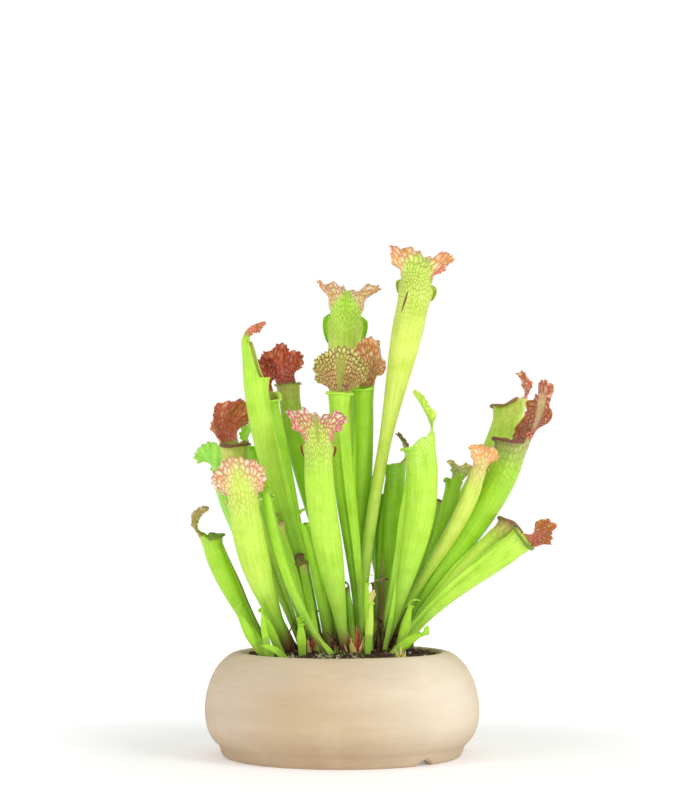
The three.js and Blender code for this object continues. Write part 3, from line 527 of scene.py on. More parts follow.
# %% Grown pitchers, in millimetres
PITCHERS = [
    dict(name="pitcher_tallest", route=[(11, 2), (21, -2, 171), (39, -8, 273), (60, -14, 377)],
         stalk=9.5, mouth=27, swell=(0.55, 0.95), face=80, roll=0.55, dip=0.4,
         lid=dict(wide=52, tall=34, neck=22, middle=0.55, lean=(0, 78), cup=-32,
                  notches=[(24, 0.26, 10), (-28, 0.14, 8)], hang=1.15, frill=2.5)),
    dict(name="pitcher_wide_hooded", route=[(37, 31), (28, 34, 160), (8, 40, 252), (3, 43, 356)],
         stalk=10.5, mouth=27, swell=(0.25, 0.9), face=88, roll=0.9, dip=0.7,
         lid=dict(wide=52, tall=29, neck=25, middle=0.72, lean=(0, 75, 0.2), cup=-30,
                  notches=[(-17, 0.3, 9), (17, 0.3, 9)], hang=0.7, frill=2.2)),
    dict(name="pitcher_domed", route=[(12, -12), (11, -15, 143), (2, -15, 216), (-2, -12, 289)],
         stalk=7.5, mouth=17, swell=(0.12, 0.7), face=-88, roll=0.6,
         lid=dict(wide=47, tall=38, neck=34, middle=0.48, lean=(-8, 24), cup=38, hang=1.45, frill=1.2)),
    dict(name="pitcher_red_net", route=[(14, 15), (15, 13, 145), (16, 11, 220), (17, 9, 294)],
         stalk=10, mouth=18, swell=(0.2, 0.8), face=-140, roll=0.6,
         lid=dict(wide=48, tall=41, neck=30, lean=(-8, 20), cup=35, hang=1.25, frill=1.8)),
    dict(name="pitcher_pink_front", route=[(3, -30), (-4, -38, 128), (-14, -45, 186), (-18, -51, 247)],
         stalk=6.5, mouth=22.5, swell=(0.05, 0.62), face=90, roll=0.45, dip=0.45,
         lid=dict(wide=47, tall=33, neck=22, middle=0.58, lean=(0, 78), tilt=-7, cup=-28,
                  notches=[(-17, 0.24, 7), (17, 0.24, 7)], hang=1.1, frill=2)),
    dict(name="pitcher_yellow_left",
         route=[(-33, -20), (-54, -30, 115), (-69, -39, 159), (-77, -46, 203)],
         stalk=7, mouth=25, swell=(0.1, 0.72), face=92, roll=0.3,
         lid=dict(wide=42, tall=37, neck=24, lean=(-5, 40), tilt=-4, cup=15, hang=1.65, frill=1.5)),
    dict(name="pitcher_far_left", route=[(-50, -14), (-71, -19, 101), (-90, -24, 137), (-104, -29, 175)],
         stalk=6, mouth=17, swell=(0.15, 0.9), face=0,
         lid=dict(wide=22, tall=28, neck=6, middle=0.6, lean=(-15, 75), cup=-60, frill=1.8)),
    dict(name="pitcher_red_left", route=[(-26, 4), (-49, 4, 127), (-73, 8, 188), (-88, 10, 249)],
         stalk=6, mouth=22, swell=(0.2, 0.85), face=-38,
         lid=dict(wide=46, tall=39, neck=20, lean=(-18, 30), tilt=-22, cup=35,
                  notches=[(-52, 0.2, 8), (8, 0.16, 7), (62, 0.22, 9)], frill=2.5)),
    dict(name="pitcher_green_leftmost",
         route=[(-31, 21), (-60, 27, 125), (-87, 36, 182), (-101, 42, 230)],
         stalk=5, mouth=13, swell=(0.2, 0.9), face=60,
         lid=dict(wide=30, tall=22, neck=8, lean=(-40, 10), cup=-10, hang=1.3, frill=1.5)),
    dict(name="pitcher_green_hidden", route=[(-20, 24), (-42, 34, 128), (-62, 42, 188), (-75, 48, 247)],
         stalk=5, mouth=11, swell=(0.2, 0.9), face=-20,
         lid=dict(wide=20, tall=22, neck=7, lean=(-5, 40), cup=-20, frill=1.5)),
    dict(name="pitcher_tall_left", route=[(-16, -2), (-37, -9, 157), (-60, -12, 243), (-71, -14, 330)],
         stalk=8.5, mouth=19, swell=(0.05, 0.85), face=-8, roll=0.3, dip=1.6,
         lid=dict(wide=26, tall=26, neck=15, lean=(10, 95), cup=45, frill=1.4)),
    dict(name="pitcher_olive_mouthed", route=[(-14, 12), (-31, 11, 143), (-46, 9, 216), (-62, 8, 289)],
         stalk=9, mouth=17, swell=(0.1, 0.85), face=-70, dip=0.45,
         lid=dict(wide=24, tall=31, neck=14, lean=(-5, 20), tilt=-12, cup=20, frill=2.5)),
    dict(name="pitcher_dark_red", route=[(3, 10), (-9, 18, 145), (-29, 27, 220), (-45, 33, 299)],
         stalk=10, mouth=18.5, swell=(0.2, 0.85), face=-68, roll=0.4,
         lid=dict(wide=38, tall=34, neck=17, lean=(-5, 12), cup=15,
                  notches=[(-35, 0.18, 9), (30, 0.15, 7), (70, 0.2, 8)], frill=3)),
    dict(name="pitcher_bright_right", route=[(29, -16), (47, -18, 131), (61, -20, 191), (62, -21, 252)],
         stalk=7, mouth=25, swell=(0.1, 0.75), face=180, dip=0.3,
         lid=dict(wide=22, tall=39, neck=7, middle=0.45, lean=(8, 24), cup=-60,
                  notches=[(-60, 0.35, 12), (70, 0.3, 10)], frill=2)),
    dict(name="pitcher_spotted", route=[(26, 10), (35, 11, 124), (40, 12, 178), (44, 13, 232)],
         stalk=8, mouth=17, swell=(0.1, 0.7), face=-170,
         lid=dict(wide=14, tall=28, neck=5, middle=0.6, lean=(-5, 45), cup=-20, frill=1)),
    dict(name="pitcher_veined_back", route=[(43, 16), (73, 26, 140), (114, 42, 210), (141, 54, 287)],
         stalk=7, mouth=26, swell=(0.1, 0.85), face=186, dip=0.3,
         lid=dict(wide=20, tall=26, neck=6, middle=0.55, lean=(0, 45), cup=-30,
                  notches=[(-40, 0.25, 10), (40, 0.25, 10)], frill=2.5)),
    dict(name="pitcher_veined_front", route=[(38, -6), (69, 3, 130), (110, 10, 190), (139, 14, 252)],
         stalk=8, mouth=27, swell=(0.1, 0.85), face=200,
         lid=dict(wide=44, tall=53, neck=26, lean=(-14, 10), tilt=-2, cup=10,
                  notches=[(-30, 0.12, 8), (40, 0.15, 8), (85, 0.18, 9)], hang=2.4, frill=3)),
    dict(name="pitcher_orange", route=[(32, 1), (55, 0, 124), (88, -6, 178), (109, -10, 229)],
         stalk=5, mouth=13.5, swell=(0.2, 0.8), face=112,
         lid=dict(wide=26, tall=21, neck=13, lean=(0, 45), cup=-25, frill=1.5)),
    dict(name="pitcher_grey_frilled", route=[(40, 7), (59, 12, 120), (78, 13, 170), (91, 15, 219)],
         stalk=5, mouth=13, swell=(0.2, 0.9), face=130,
         lid=dict(wide=28, tall=18, neck=11, middle=0.55, lean=(0, 60), cup=-30, frill=1.5)),
    dict(name="pitcher_leaning_back", route=[(39, -17), (65, -12, 110), (99, -5, 147), (137, 2, 183)],
         stalk=7, mouth=20, swell=(0.2, 0.95), face=170,
         lid=None),
    dict(name="pitcher_leaning_front",
         route=[(36, -26), (64, -22, 108), (102, -22, 142), (145, -22, 173)],
         stalk=7, mouth=20, swell=(0.2, 0.95), face=-150,
         lid=dict(wide=23, tall=28, neck=11, middle=0.55, lean=(-10, 50), cup=10, frill=2)),
    dict(name="pitcher_brown_edged", route=[(36, 22), (55, 27, 134), (83, 34, 200)],
         stalk=5, mouth=14.6, swell=(0.2, 0.95), face=120, lid=None),
    dict(name="pitcher_dark_green", route=[(49, 40), (71, 48, 130), (98, 56, 187)],
         stalk=8, mouth=14, swell=(0.1, 0.8), face=180,
         lid=dict(wide=16, tall=16, neck=8, lean=(0, 40), cup=-20, frill=1)),
    dict(name="pitcher_small_upright", route=[(-8, -20), (-15, -26, 127), (-28, -32, 184)],
         stalk=8.5, mouth=11.5, swell=(0.05, 0.6), face=10,
         lid=dict(wide=11, tall=21, neck=3, middle=0.55, lean=(-15, 110), cup=-20, frill=0.5)),
    dict(name="pitcher_slender", route=[(0, -43), (-29, -44, 113), (-48, -42, 160), (-59, -38, 206)],
         stalk=6, mouth=8.5, swell=(0.1, 0.8), face=60,
         lid=dict(wide=13, tall=14, neck=6, lean=(0, 40), cup=-20, frill=1)),
    dict(name="pitcher_yellow_short", route=[(-22, -10), (-34, -19, 127), (-51, -25, 185)],
         stalk=4, mouth=9, swell=(0.1, 0.9), face=-30,
         lid=dict(wide=13, tall=10, neck=7, lean=(0, 80), cup=-20, frill=1)),
    dict(name="pitcher_brown_mouthed", route=[(-15, -13), (-23, -18, 112), (-31, -21, 154)],
         stalk=6, mouth=9, swell=(0.1, 0.8), face=-60,
         lid=dict(wide=10, tall=8, neck=6, lean=(-20, 30), cup=0, frill=0.8)),
    dict(name="pitcher_hidden_red", route=[(26, 18), (30, 20, 140), (29, 22, 208)],
         stalk=7, mouth=9.5, swell=(0.2, 0.9), face=-15,
         lid=dict(wide=16, tall=18, neck=8, lean=(-10, 30), cup=10, frill=1)),
]

# %% [markdown]
# Young pitchers stand round the crowns. Their mouths are narrow and their lids small and smooth.

# %% Young pitchers
YOUNG = [
    dict(name="young_hooked_left", route=[(-51, -35), (-67, -39, 91), (-80, -42, 114)],
         stalk=7, mouth=9, swell=(0.1, 0.8), face=20,
         lid=dict(wide=9, tall=12, neck=6, lean=(0, 90), cup=10, frill=0)),
    dict(name="young_left", route=[(-42, -32), (-52, -38, 93), (-61, -41, 114)],
         stalk=6.5, mouth=7, swell=(0.1, 0.8), face=-60,
         lid=dict(wide=8, tall=12, neck=4, lean=(5, 105), cup=10, frill=0)),
    dict(name="young_front_left", route=[(-30, -44), (-31, -49, 90), (-32, -51, 107)],
         stalk=5, mouth=8, swell=(0.1, 0.8), face=-50,
         lid=dict(wide=9, tall=11, neck=5, middle=0.45, lean=(0, 100), cup=20, frill=0)),
    dict(name="young_dark_headed", route=[(11, -22), (7, -22, 103), (4, -23, 134)],
         stalk=5.5, mouth=8, swell=(0.2, 0.95), face=180,
         lid=dict(wide=9, tall=11, neck=4, lean=(0, 100), cup=30, frill=0)),
    dict(name="young_bent_hood", route=[(23, -27), (20, -28, 105), (19, -29, 138)],
         stalk=4, mouth=7, swell=(0.1, 0.8), face=0,
         lid=dict(wide=8, tall=11, neck=4, lean=(0, 100), cup=0, frill=0)),
    dict(name="young_front_bright", route=[(19, -42), (21, -43, 97), (23, -43, 123)],
         stalk=4.5, mouth=6.5, swell=(0.1, 0.6), face=-70,
         lid=dict(wide=6, tall=12, neck=5, middle=0.4, lean=(-5, 60), cup=30, frill=0)),
    dict(name="withered_pitcher", route=[(21, -7), (26, -9, 105), (26, -10, 138)],
         stalk=4, mouth=8, swell=(0.2, 0.9), face=175,
         lid=dict(wide=10, tall=9, neck=5, lean=(-60, -100), cup=-30, frill=1)),
    dict(name="young_right", route=[(39, -33), (47, -34, 96), (54, -35, 121)],
         stalk=4, mouth=7, swell=(0.1, 0.8), face=0,
         lid=dict(wide=8, tall=12, neck=4, lean=(0, 120), cup=20, frill=0)),
    dict(name="young_low_right", route=[(31, -39), (46, -43, 88), (62, -46, 99)],
         stalk=5, mouth=8, swell=(0.05, 0.6), face=150,
         lid=dict(wide=9, tall=11, neck=5, lean=(0, 90), cup=10, frill=0)),
]

# %% [markdown]
# Flat leaves have no trumpet, only a width. The crown buds sit on the soil: at says where, and
# radius and tall how large they are.

# %% Flat leaves and crown buds
BLADES = [
    dict(name="blade_left", route=[(-50, -45), (-59, -48, 95), (-62, -49, 122)], wide=5.5, face=-90),
    dict(name="blade_low_left", route=[(-38, -50), (-50, -53, 86), (-64, -52, 90)], wide=5, face=-90),
    dict(name="blade_middle_left", route=[(-16, -31), (-20, -31, 96), (-24, -30, 122)], wide=5, face=-90),
    dict(name="blade_low_front", route=[(1, -50), (-8, -51, 84), (-19, -50, 97)], wide=4.5, face=-90),
    dict(name="blade_green_tip", route=[(34, -6), (37, -7, 115), (39, -8, 160)], wide=4, face=-90),
    dict(name="blade_right", route=[(30, -26), (38, -28, 107), (43, -28, 143)], wide=3.5, face=-90),
    dict(name="blade_dry", route=[(28, 1), (31, -1, 115), (33, -3, 161)], wide=6, face=-70),
]

BUDS = [
    dict(name="crown_bud_front", at=(10.5, -39), radius=4, tall=24, scales=5),
    dict(name="crown_bud_left", at=(-24, -35), radius=2.8, tall=21, scales=4),
    dict(name="crown_bud_right", at=(45, -52), radius=3, tall=9, scales=4),
]

# %% [markdown]
# A leaf is a sheet that is rolled into a trumpet. Everything about it is worked out in its own
# directions: along the leaf, to its open front and to its side. The functions below take a whole
# row of places at once, as numpy arrays, so that a fine mesh is still made quickly.

# %% The leaf's own directions
FOOT_HEIGHT = 70
FOOT_TAPER = 0.62
FOOT_TAPER_TO = 0.16
WAIST = 0.06
YOUNG_PINCH = 0.45
HOLLOW_FROM = 0.52
LEAF_WALL = 0.8
LIP_WALL = 0.55
LID_EDGE_WALL = 0.45


def ease(x):
    """0 below 0, 1 above 1, and smooth between."""
    x = np.clip(x, 0, 1)
    return x * x * (3 - 2 * x)


def mix(a, b, share):
    return a + (b - a) * share


def hump(x, middle, width):
    """1 at the middle and almost 0 a width or two away from it."""
    return np.exp(-(((x - middle) / width) ** 2))


def unit(v):
    return v / np.linalg.norm(v, axis=-1, keepdims=True)


def on_route(leaf, t):
    """Points at the shares t of the one smooth curve through all the points of a leaf's route."""
    route = [(*p, FOOT_HEIGHT)[:3] for p in leaf["route"]]
    last = len(route) - 1
    points = np.zeros((len(t), 3))
    for i, p in enumerate(route):
        weight = np.ones(len(t))
        for j in range(last + 1):
            if j != i:
                weight *= (t * last - j) / (i - j)
        points += weight[:, None] * np.array(p, float)
    return points


def axes_at(leaf, t):
    """Where a leaf is at the shares t, and its directions there: along, front and side."""
    step = 0.01
    centre = on_route(leaf, t)
    along = unit(on_route(leaf, t + step) - on_route(leaf, t - step))
    face = math.radians(leaf["face"])
    front = np.array([math.cos(face), math.sin(face), 0.0])
    front = unit(front - (along @ front)[:, None] * along)
    return centre, along, front, np.cross(front, along)


def girth(leaf, t):
    """Half the width of the trumpet: thin at the foot, then the stalk, which swells to the mouth."""
    first, last = leaf["swell"]
    swollen = ease((t - first) / (last - first))
    foot = mix(FOOT_TAPER, 1, ease(t / FOOT_TAPER_TO))
    # A faint waist just below the lip, and a mouth that is still pinched on a young leaf.
    waist = 1 - WAIST * hump(t, 0.94, 0.04)
    pinch = 1 - YOUNG_PINCH * ease((t - 0.62) / 0.38) if leaf in YOUNG else 1
    return mix(leaf["stalk"] / 2, leaf["mouth"] / 2, swollen) * waist * foot * pinch


TIP = np.array([1.0])
print("the tallest leaf is", round(on_route(PITCHERS[0], TIP)[0, 2]), "mm high at its lip")

# %% [markdown]
# The lid is worked out flat first, as if pressed in a book: an outline with broad lobes, notches
# between them and small scallops all round. On it x runs from one side to the other and q from
# the lip to the frilled edge.

# %% The lid, flat
LID_SPREAD = 132
LID_HALF_ARC = 72
SCALLOP_WIDTH = 4.6
SCALLOP_DEPTH = 2.1


def lid_flat(leaf, x, q):
    """Millimetres across and up on the flat lid, and how far the frill stands off the sheet."""
    lid = leaf["lid"]
    waves = lid.get("waves", 5)
    widest = lid.get("middle", 0.5)
    seed = 1.7 * len(leaf["name"])
    degrees = LID_SPREAD * x
    turn = np.radians(degrees)
    # Broad lobes, cut by the leaf's own notches.
    outline = 1 + 0.05 * np.cos(waves * turn)
    for place, depth, width in lid.get("notches", ()):
        outline = outline - depth * hump(degrees, place, width) * q
    # Small scallops along the edge, none of them quite like the next.
    wander = turn + 0.07 * np.sin(3.7 * turn + seed) + 0.03 * np.sin(9.1 * turn + 2 * seed)
    scallops = 0.8 * (lid["wide"] + lid["tall"]) / SCALLOP_WIDTH
    lobes = np.abs(np.sin(scallops * wander + seed))
    depth = min(SCALLOP_DEPTH, 0.07 * lid["wide"]) / (lid["wide"] / 2)
    # The corners, where the edge comes back to the neck, are drawn in and smooth.
    corner = ease((np.abs(x) - 0.8) / 0.2) * q
    outline = outline + depth * (lobes - 0.6) * ease((q - 0.6) / 0.4) * (1 - corner) - 0.28 * corner
    # Each place lies on a curve from the lip through the neck to the edge.
    low_reach = widest * lid.get("hang", 0.85)
    reach = lid["tall"] * np.where(np.cos(turn) > 0, 1 - widest, low_reach)
    lip_u = math.radians(LID_HALF_ARC) * girth(leaf, TIP)[0] * x
    neck_u = lid["neck"] / 2 * x
    neck_v = lid["tall"] * widest * 0.6
    edge_u = lid["wide"] / 2 * np.sin(turn) * outline
    edge_v = lid["tall"] * widest + reach * np.cos(turn) * outline
    u = (1 - q) ** 2 * lip_u + 2 * q * (1 - q) * neck_u + q * q * edge_u
    v = 2 * q * (1 - q) * neck_v + q * q * edge_v
    u = u + math.tan(math.radians(lid.get("tilt", 0))) * v
    # Wide waves, narrower ones over them, and a crimp at the very edge.
    frill = lid["frill"]
    ruffle = frill * q**2 * np.sin(waves * turn + 0.6)
    ruffle = ruffle + 0.4 * frill * q**4 * np.sin(2.7 * waves * wander + seed)
    ruffle = ruffle + 0.45 * min(frill, 1.6) * q**7 * np.sin(scallops * wander + 2 * seed)
    ruffle = ruffle * (1 - 0.7 * corner)
    return u, v, ruffle


# %% [markdown]
# Bending works on every place of the flat lid alike. Going up, it is straight to where the bend
# starts, then follows an arc, then is straight again. Going across, it follows another arc, which
# is the trumpet's own round at the neck and the lid's cup further up.

# %% The lid, bent


def lid_bent(leaf, u, v, push):
    """The same places on the bent lid. push moves them off the sheet, towards the mouth."""
    lid = leaf["lid"]
    tall = lid["tall"]
    centre, along, front, side = (a[0] for a in axes_at(leaf, TIP))
    back = girth(leaf, TIP)[0]
    first, last, start, stop = *lid["lean"], *(0, 1)[len(lid["lean"]) - 2 :]
    first = math.radians(first)
    bend = (math.radians(last) - first) / ((stop - start) * tall)
    before = np.minimum(v, start * tall)
    curved = np.clip(v - before, 0, (stop - start) * tall)
    after = v - before - curved
    lean = first + bend * curved
    rise = before * math.cos(first) + (np.sin(lean) - math.sin(first)) / bend + after * np.cos(lean)
    reach = before * math.sin(first) + (math.cos(first) - np.cos(lean)) / bend + after * np.sin(lean)
    clear = ease(np.maximum(v / tall / 0.45, (np.abs(u) / back - 1.3) / 0.7))
    curl = mix(1 / back, math.radians(lid["cup"]) / (lid["wide"] / 2), clear)
    curl = np.where(np.abs(curl) < 1e-4, 1e-4, curl)
    across = np.sin(curl * u) / curl - push * np.sin(curl * u)
    hollow = (1 - np.cos(curl * u)) / curl + push * np.cos(curl * u)
    inwards = np.cos(lean)[:, None] * front - np.sin(lean)[:, None] * along
    flat = centre + (reach - back)[:, None] * front + rise[:, None] * along
    return flat + across[:, None] * side + hollow[:, None] * inwards


# %% [markdown]
# The trumpet's wall carries the small forms that make the leaf a living one: the wing, a thin
# keel that runs up the front, the crease on each side of it, and a wall that is never quite
# round. The mouth is cut slantwise, lower in front than at the back, and its lip rolls outwards
# and down like the hem of a sleeve, most of all at the sides, where it meets the lid.

# %% The trumpet's wall and its rolled lip
LIP_FLARE = 0.9
SPOUT = 0.05
WING = 0.16
LIP_FREE_TO = 94
LIP_FADE = 13
LIP_ROLL = 0.032
LEAST_ROLL = 0.25
YOUNG_ROLL = 0.15
ROLL_STEPS = 6
ROLL_TURN = 215
DIP = 0.12


def off_front(angle):
    """Degrees between a direction round the trumpet and its open front."""
    return np.degrees(np.abs(np.arctan2(np.sin(angle), np.cos(angle))))


def freedom(leaf, turn):
    """1 where the lip is free and rolls, 0 at the back, where the lid stands."""
    return 1 - ease((turn - LIP_FREE_TO) / LIP_FADE) if leaf["lid"] else np.ones_like(turn)


def wall_row(leaf, t, angle, inside=False):
    """A row of points round the trumpet at share t, and its directions outwards and along."""
    turn = off_front(angle)
    # The mouth is cut slantwise: towards the front the rows lie lower, more so the higher up.
    rise = leaf["route"][-1][2] - FOOT_HEIGHT
    sunk = leaf.get("dip", DIP) * leaf["mouth"] / rise * ease((110 - turn) / 55)
    share = t - sunk * max(0.0, (t - HOLLOW_FROM) / (1 - HOLLOW_FROM))
    centre, along, front, side = axes_at(leaf, share)
    outwards = np.cos(angle)[:, None] * front + np.sin(angle)[:, None] * side
    # The wall is never quite round, in a way of its own on each leaf.
    seed = len(leaf["name"]) * 0.9 + leaf["mouth"]
    uneven = 0.022 * np.sin(2 * angle + 5 * t + seed) + 0.013 * np.sin(3 * angle - 9 * t + 2 * seed)
    radius = girth(leaf, share) * (1 + uneven)
    if inside:
        radius = radius - LEAF_WALL
    else:
        wing = leaf.get("wing", WING * leaf["mouth"]) * ease(t / 0.3) * (1 - ease((t - 0.6) / 0.35))
        radius = radius + wing * (hump(turn, 0, 7) - 0.25 * hump(turn, 17, 7))
    # Close to the lip the wall flares, and in front it draws out to a small spout.
    near_lip = ease((t - 0.92) / 0.08) ** 2
    spout = SPOUT * leaf["mouth"] * hump(turn, 0, 16)
    radius = radius + near_lip * (spout + LIP_FLARE * leaf["mouth"] / 20 * freedom(leaf, turn))
    return centre + radius[:, None] * outwards, outwards, along


# %% [markdown]
# A body's skin is gathered row by row. With every point go the marks that the materials read:
# how far along the leaf it lies, how far out on the lid, whether it is on the rolled lip or
# inside the trumpet. A UV map called leaf_sheet gives the place on the unrolled leaf: across it,
# 0 on the midrib, 1 at the lid's side and 2.5 at the trumpet's front, and up it in vein cells.

# %% Gathering a leaf's skin
MARKS = ("along_leaf", "out_on_lid", "on_lip", "inside_trumpet")
ONCE_ROUND = 360 / LID_HALF_ARC


def loop(row):
    return [*row, row[0]]


class Skin:
    def __init__(self):
        self.points = []
        self.marks = []
        self.sheet = []
        self.faces = []
        self.count = 0

    def row(self, points, across=0.0, up=0.0, **marks):
        """Adds a row of points and returns their numbers."""
        size = len(points)
        self.points.append(points)
        self.sheet.append(np.stack([np.broadcast_to(a, size) for a in (across, up)], axis=1))
        columns = [np.broadcast_to(marks.get(name, 0.0), size) for name in MARKS]
        self.marks.append(np.stack(columns, axis=1))
        self.count += size
        return list(range(self.count - size, self.count))

    def band(self, lower, upper, into):
        """A strip of faces between two rows of the same length. Faces that shrink are left out."""
        for a, b, c, d in zip(lower, lower[1:], upper[1:], upper):
            face = list(dict.fromkeys((a, d, c, b)))
            if len(face) > 2:
                into.append(face)

    def stitch(self, lower, upper, into):
        """A strip between rows of any length, each spread evenly over the same span."""
        i = 0
        j = 0
        while i + 1 < len(lower) or j + 1 < len(upper):
            low = (i + 1) / (len(lower) - 1)
            high = (j + 1) / (len(upper) - 1)
            if j + 1 >= len(upper) or (i + 1 < len(lower) and low < high):
                into.append([lower[i], upper[j], lower[i + 1]])
                i += 1
            else:
                into.append([lower[i], upper[j], upper[j + 1]])
                j += 1

    def doubled(self, sheet, partner, still_open):
        """Adds a sheet, its other side on the partner points, and the edge between the two."""
        sides = [(f[i], f[(i + 1) % len(f)]) for f in sheet for i in range(len(f))]
        seen = set(sides)
        for face in sheet:
            self.faces.append(face)
            self.faces.append([partner[n] for n in reversed(face)])
        for a, b in sides:
            if (b, a) not in seen and not (a in still_open and b in still_open):
                self.faces.append(list(dict.fromkeys((b, a, partner[a], partner[b]))))

    def fan(self, row, middle, turned):
        for a, b in zip(row, row[1:]):
            self.faces.append([b, a, middle] if turned else [a, b, middle])

    def tube(self, rows, foot, tip=None):
        """A closed skin over rings, with a fan from the first to the foot, the last to the tip."""
        for lower, upper in zip(rows, rows[1:]):
            self.band(loop(lower), loop(upper), self.faces)
        self.fan(loop(rows[0]), foot, False)
        if tip is not None:
            self.fan(loop(rows[-1]), tip, True)

    def piece(self, name, material):
        mesh = bpy.data.meshes.new(name)
        mesh.from_pydata(metres(np.concatenate(self.points)).tolist(), [], self.faces)
        marks = np.concatenate(self.marks)
        for i, label in enumerate(MARKS):
            layer = mesh.attributes.new(label, "FLOAT", "POINT")
            layer.data.foreach_set("value", marks[:, i].astype(np.float32))
        # A face on the seam would run backwards over the whole sheet, so it is laid once round.
        sizes = [len(face) for face in self.faces]
        corners = np.concatenate(self.sheet)[[n for face in self.faces for n in face]]
        most = np.repeat(np.maximum.reduceat(corners[:, 0], np.cumsum([0] + sizes[:-1])), sizes)
        corners[:, 0] += ONCE_ROUND * (most - corners[:, 0] > ONCE_ROUND / 2)
        layer = mesh.uv_layers.new(name="leaf_sheet")
        layer.data.foreach_set("uv", corners.astype(np.float32).ravel())
        mesh.materials.append(material)
        mesh.shade_smooth()
        return put(name, mesh)


# %% [markdown]
# Big leaves get fine rows, young ones fewer. FRONT lists the directions round the trumpet in
# degrees, closer together at the wing in front. At the back they are evenly spaced.

# %% How finely a leaf is drawn
CELL_LENGTH = 4.2
FRONT = [0, 4, 8, 13, 18, 25, 33, 42, 51, 60, 69, 78, 86, 94, 101]


def fineness(leaf):
    """Rows of the stalk, rows of the trumpet, directions round it, rows and steps of the lid."""
    if leaf in YOUNG:
        front, step, counts = FRONT[::2], 12, (12, 14, 8, 26)
    elif leaf["mouth"] < 14.5:
        front, step, counts = [*FRONT[::2], 101], 6, (16, 20, 14, 76)
    else:
        wide = leaf["lid"]["wide"] if leaf["lid"] else 0
        front, step, counts = FRONT, 4, (20, 26, 20, 150 if wide >= 40 else 110)
    back = list(range(180 - LID_HALF_ARC, 181 + LID_HALF_ARC, step))
    round_it = [*front, *back, *(360 - a for a in reversed(front[1:]))]
    return counts, np.array(round_it, float), slice(len(front), len(front) + len(back))


def rise_of(leaf):
    """The length of a leaf from its foot to its lip."""
    line = on_route(leaf, np.linspace(0, 1, 40))
    return np.linalg.norm(np.diff(line, axis=0), axis=1).sum()


# %% [markdown]
# One pitcher is one closed skin: a solid stalk, a hollow trumpet, the rolled lip round the front
# and the lid at the back. The hollow parts are first laid out as one sheet of faces. Its other
# side stands on partner points, one for each point, and an edge joins the two.

# %% Making one pitcher


class Pitcher:
    def __init__(self, leaf):
        self.leaf = leaf
        self.counts, degrees, self.back = fineness(leaf)
        self.angles = np.radians(degrees)
        self.across = (180 - degrees) / LID_HALF_ARC
        self.length = rise_of(leaf)
        self.skin = Skin()
        self.sheet = []
        self.partner = {}

    def pair(self, outer, inner, across, up, **marks):
        """Adds a row of the outer side and its partner row on the inner side."""
        numbers = self.skin.row(outer, across, up, **marks)
        others = self.skin.row(inner, across, up, **{**marks, "inside_trumpet": 1.0})
        self.partner.update(zip(numbers, others))
        return numbers

    def trumpet(self):
        """The hollow part, from its bottom ring to its top one."""
        rings = []
        for t in HOLLOW_FROM + (1 - HOLLOW_FROM) * np.linspace(0, 1, self.counts[1]) ** 0.8:
            outer, _, _ = wall_row(self.leaf, t, self.angles)
            inner, _, _ = wall_row(self.leaf, t, self.angles, inside=True)
            up = (t - 1) * self.length / CELL_LENGTH
            rings.append(self.pair(outer, inner, self.across, up, along_leaf=t))
        for lower, upper in zip(rings, rings[1:]):
            self.skin.band(loop(lower), loop(upper), self.sheet)
        return rings[0], rings[-1]

    def lip(self, top):
        """The hem that rolls outwards from the top ring."""
        points, outwards, along = wall_row(self.leaf, 1.0, self.angles)
        turn = off_front(self.angles)
        free = freedom(self.leaf, turn)
        bulge = 1 + 0.9 * hump(turn, 84, 18) * bool(self.leaf["lid"])
        usual = YOUNG_ROLL if self.leaf in YOUNG else 1
        roll = LIP_ROLL * self.leaf["mouth"] + LEAST_ROLL
        roll = roll * self.leaf.get("roll", usual) * free * bulge
        order = [i for i in range(len(self.angles)) if free[i] > 1e-6]
        order.sort(key=lambda i: (self.angles[i] + math.pi) % (2 * math.pi))
        ends = (top[self.back.stop - 1], top[self.back.start])
        close = (lambda row: [ends[0], *row, ends[1]]) if self.leaf["lid"] else loop
        row = close([top[i] for i in order])
        for k in range(1, ROLL_STEPS + 1):
            angle = math.radians(ROLL_TURN) * k / ROLL_STEPS
            outer = points + (roll * (1 - math.cos(angle)))[:, None] * outwards
            outer = outer + (roll * math.sin(angle))[:, None] * along
            inner = outer - LIP_WALL * (math.cos(angle) * outwards - math.sin(angle) * along)
            on_lip = (min(1, k / 2) * free)[order]
            marks = {"along_leaf": 1.0, "on_lip": on_lip}
            made = self.pair(outer[order], inner[order], self.across[order], 0.1 * k, **marks)
            made = close(made)
            self.skin.band(row, made, self.sheet)
            row = made

    def lid(self, row):
        """The lid, which stands on the back of the top ring."""
        rows, steps = self.counts[2:]
        x = np.linspace(1, -1, steps + 1)
        for k in range(1, rows + 1):
            q = np.full(len(x), (k / rows) ** 0.85)
            u, v, ruffle = lid_flat(self.leaf, x, q)
            outer = lid_bent(self.leaf, u, v, ruffle)
            inner = lid_bent(self.leaf, u, v, ruffle + mix(LEAF_WALL, LID_EDGE_WALL, q))
            up = q * self.leaf["lid"]["tall"] / CELL_LENGTH
            made = self.pair(outer, inner, x, up, along_leaf=1.0, out_on_lid=q)
            if len(row) == len(made):
                self.skin.band(row, made, self.sheet)
            else:
                self.skin.stitch(row, made, self.sheet)
            row = made

    def stalk(self, bottom):
        """The solid part, up to the ring where the hollow one begins."""
        end = self.skin.row(axes_at(self.leaf, TIP * (HOLLOW_FROM - 0.03))[0], inside_trumpet=1.0)[0]
        self.skin.fan(loop([self.partner[n] for n in bottom]), end, True)
        rows = []
        for t in np.linspace(0, HOLLOW_FROM, self.counts[0])[:-1]:
            points, _, _ = wall_row(self.leaf, t, self.angles)
            up = (t - 1) * self.length / CELL_LENGTH
            rows.append(self.skin.row(points, self.across, up, along_leaf=t))
        foot = self.skin.row(axes_at(self.leaf, TIP * 0)[0])[0]
        self.skin.tube([*rows, bottom], foot)


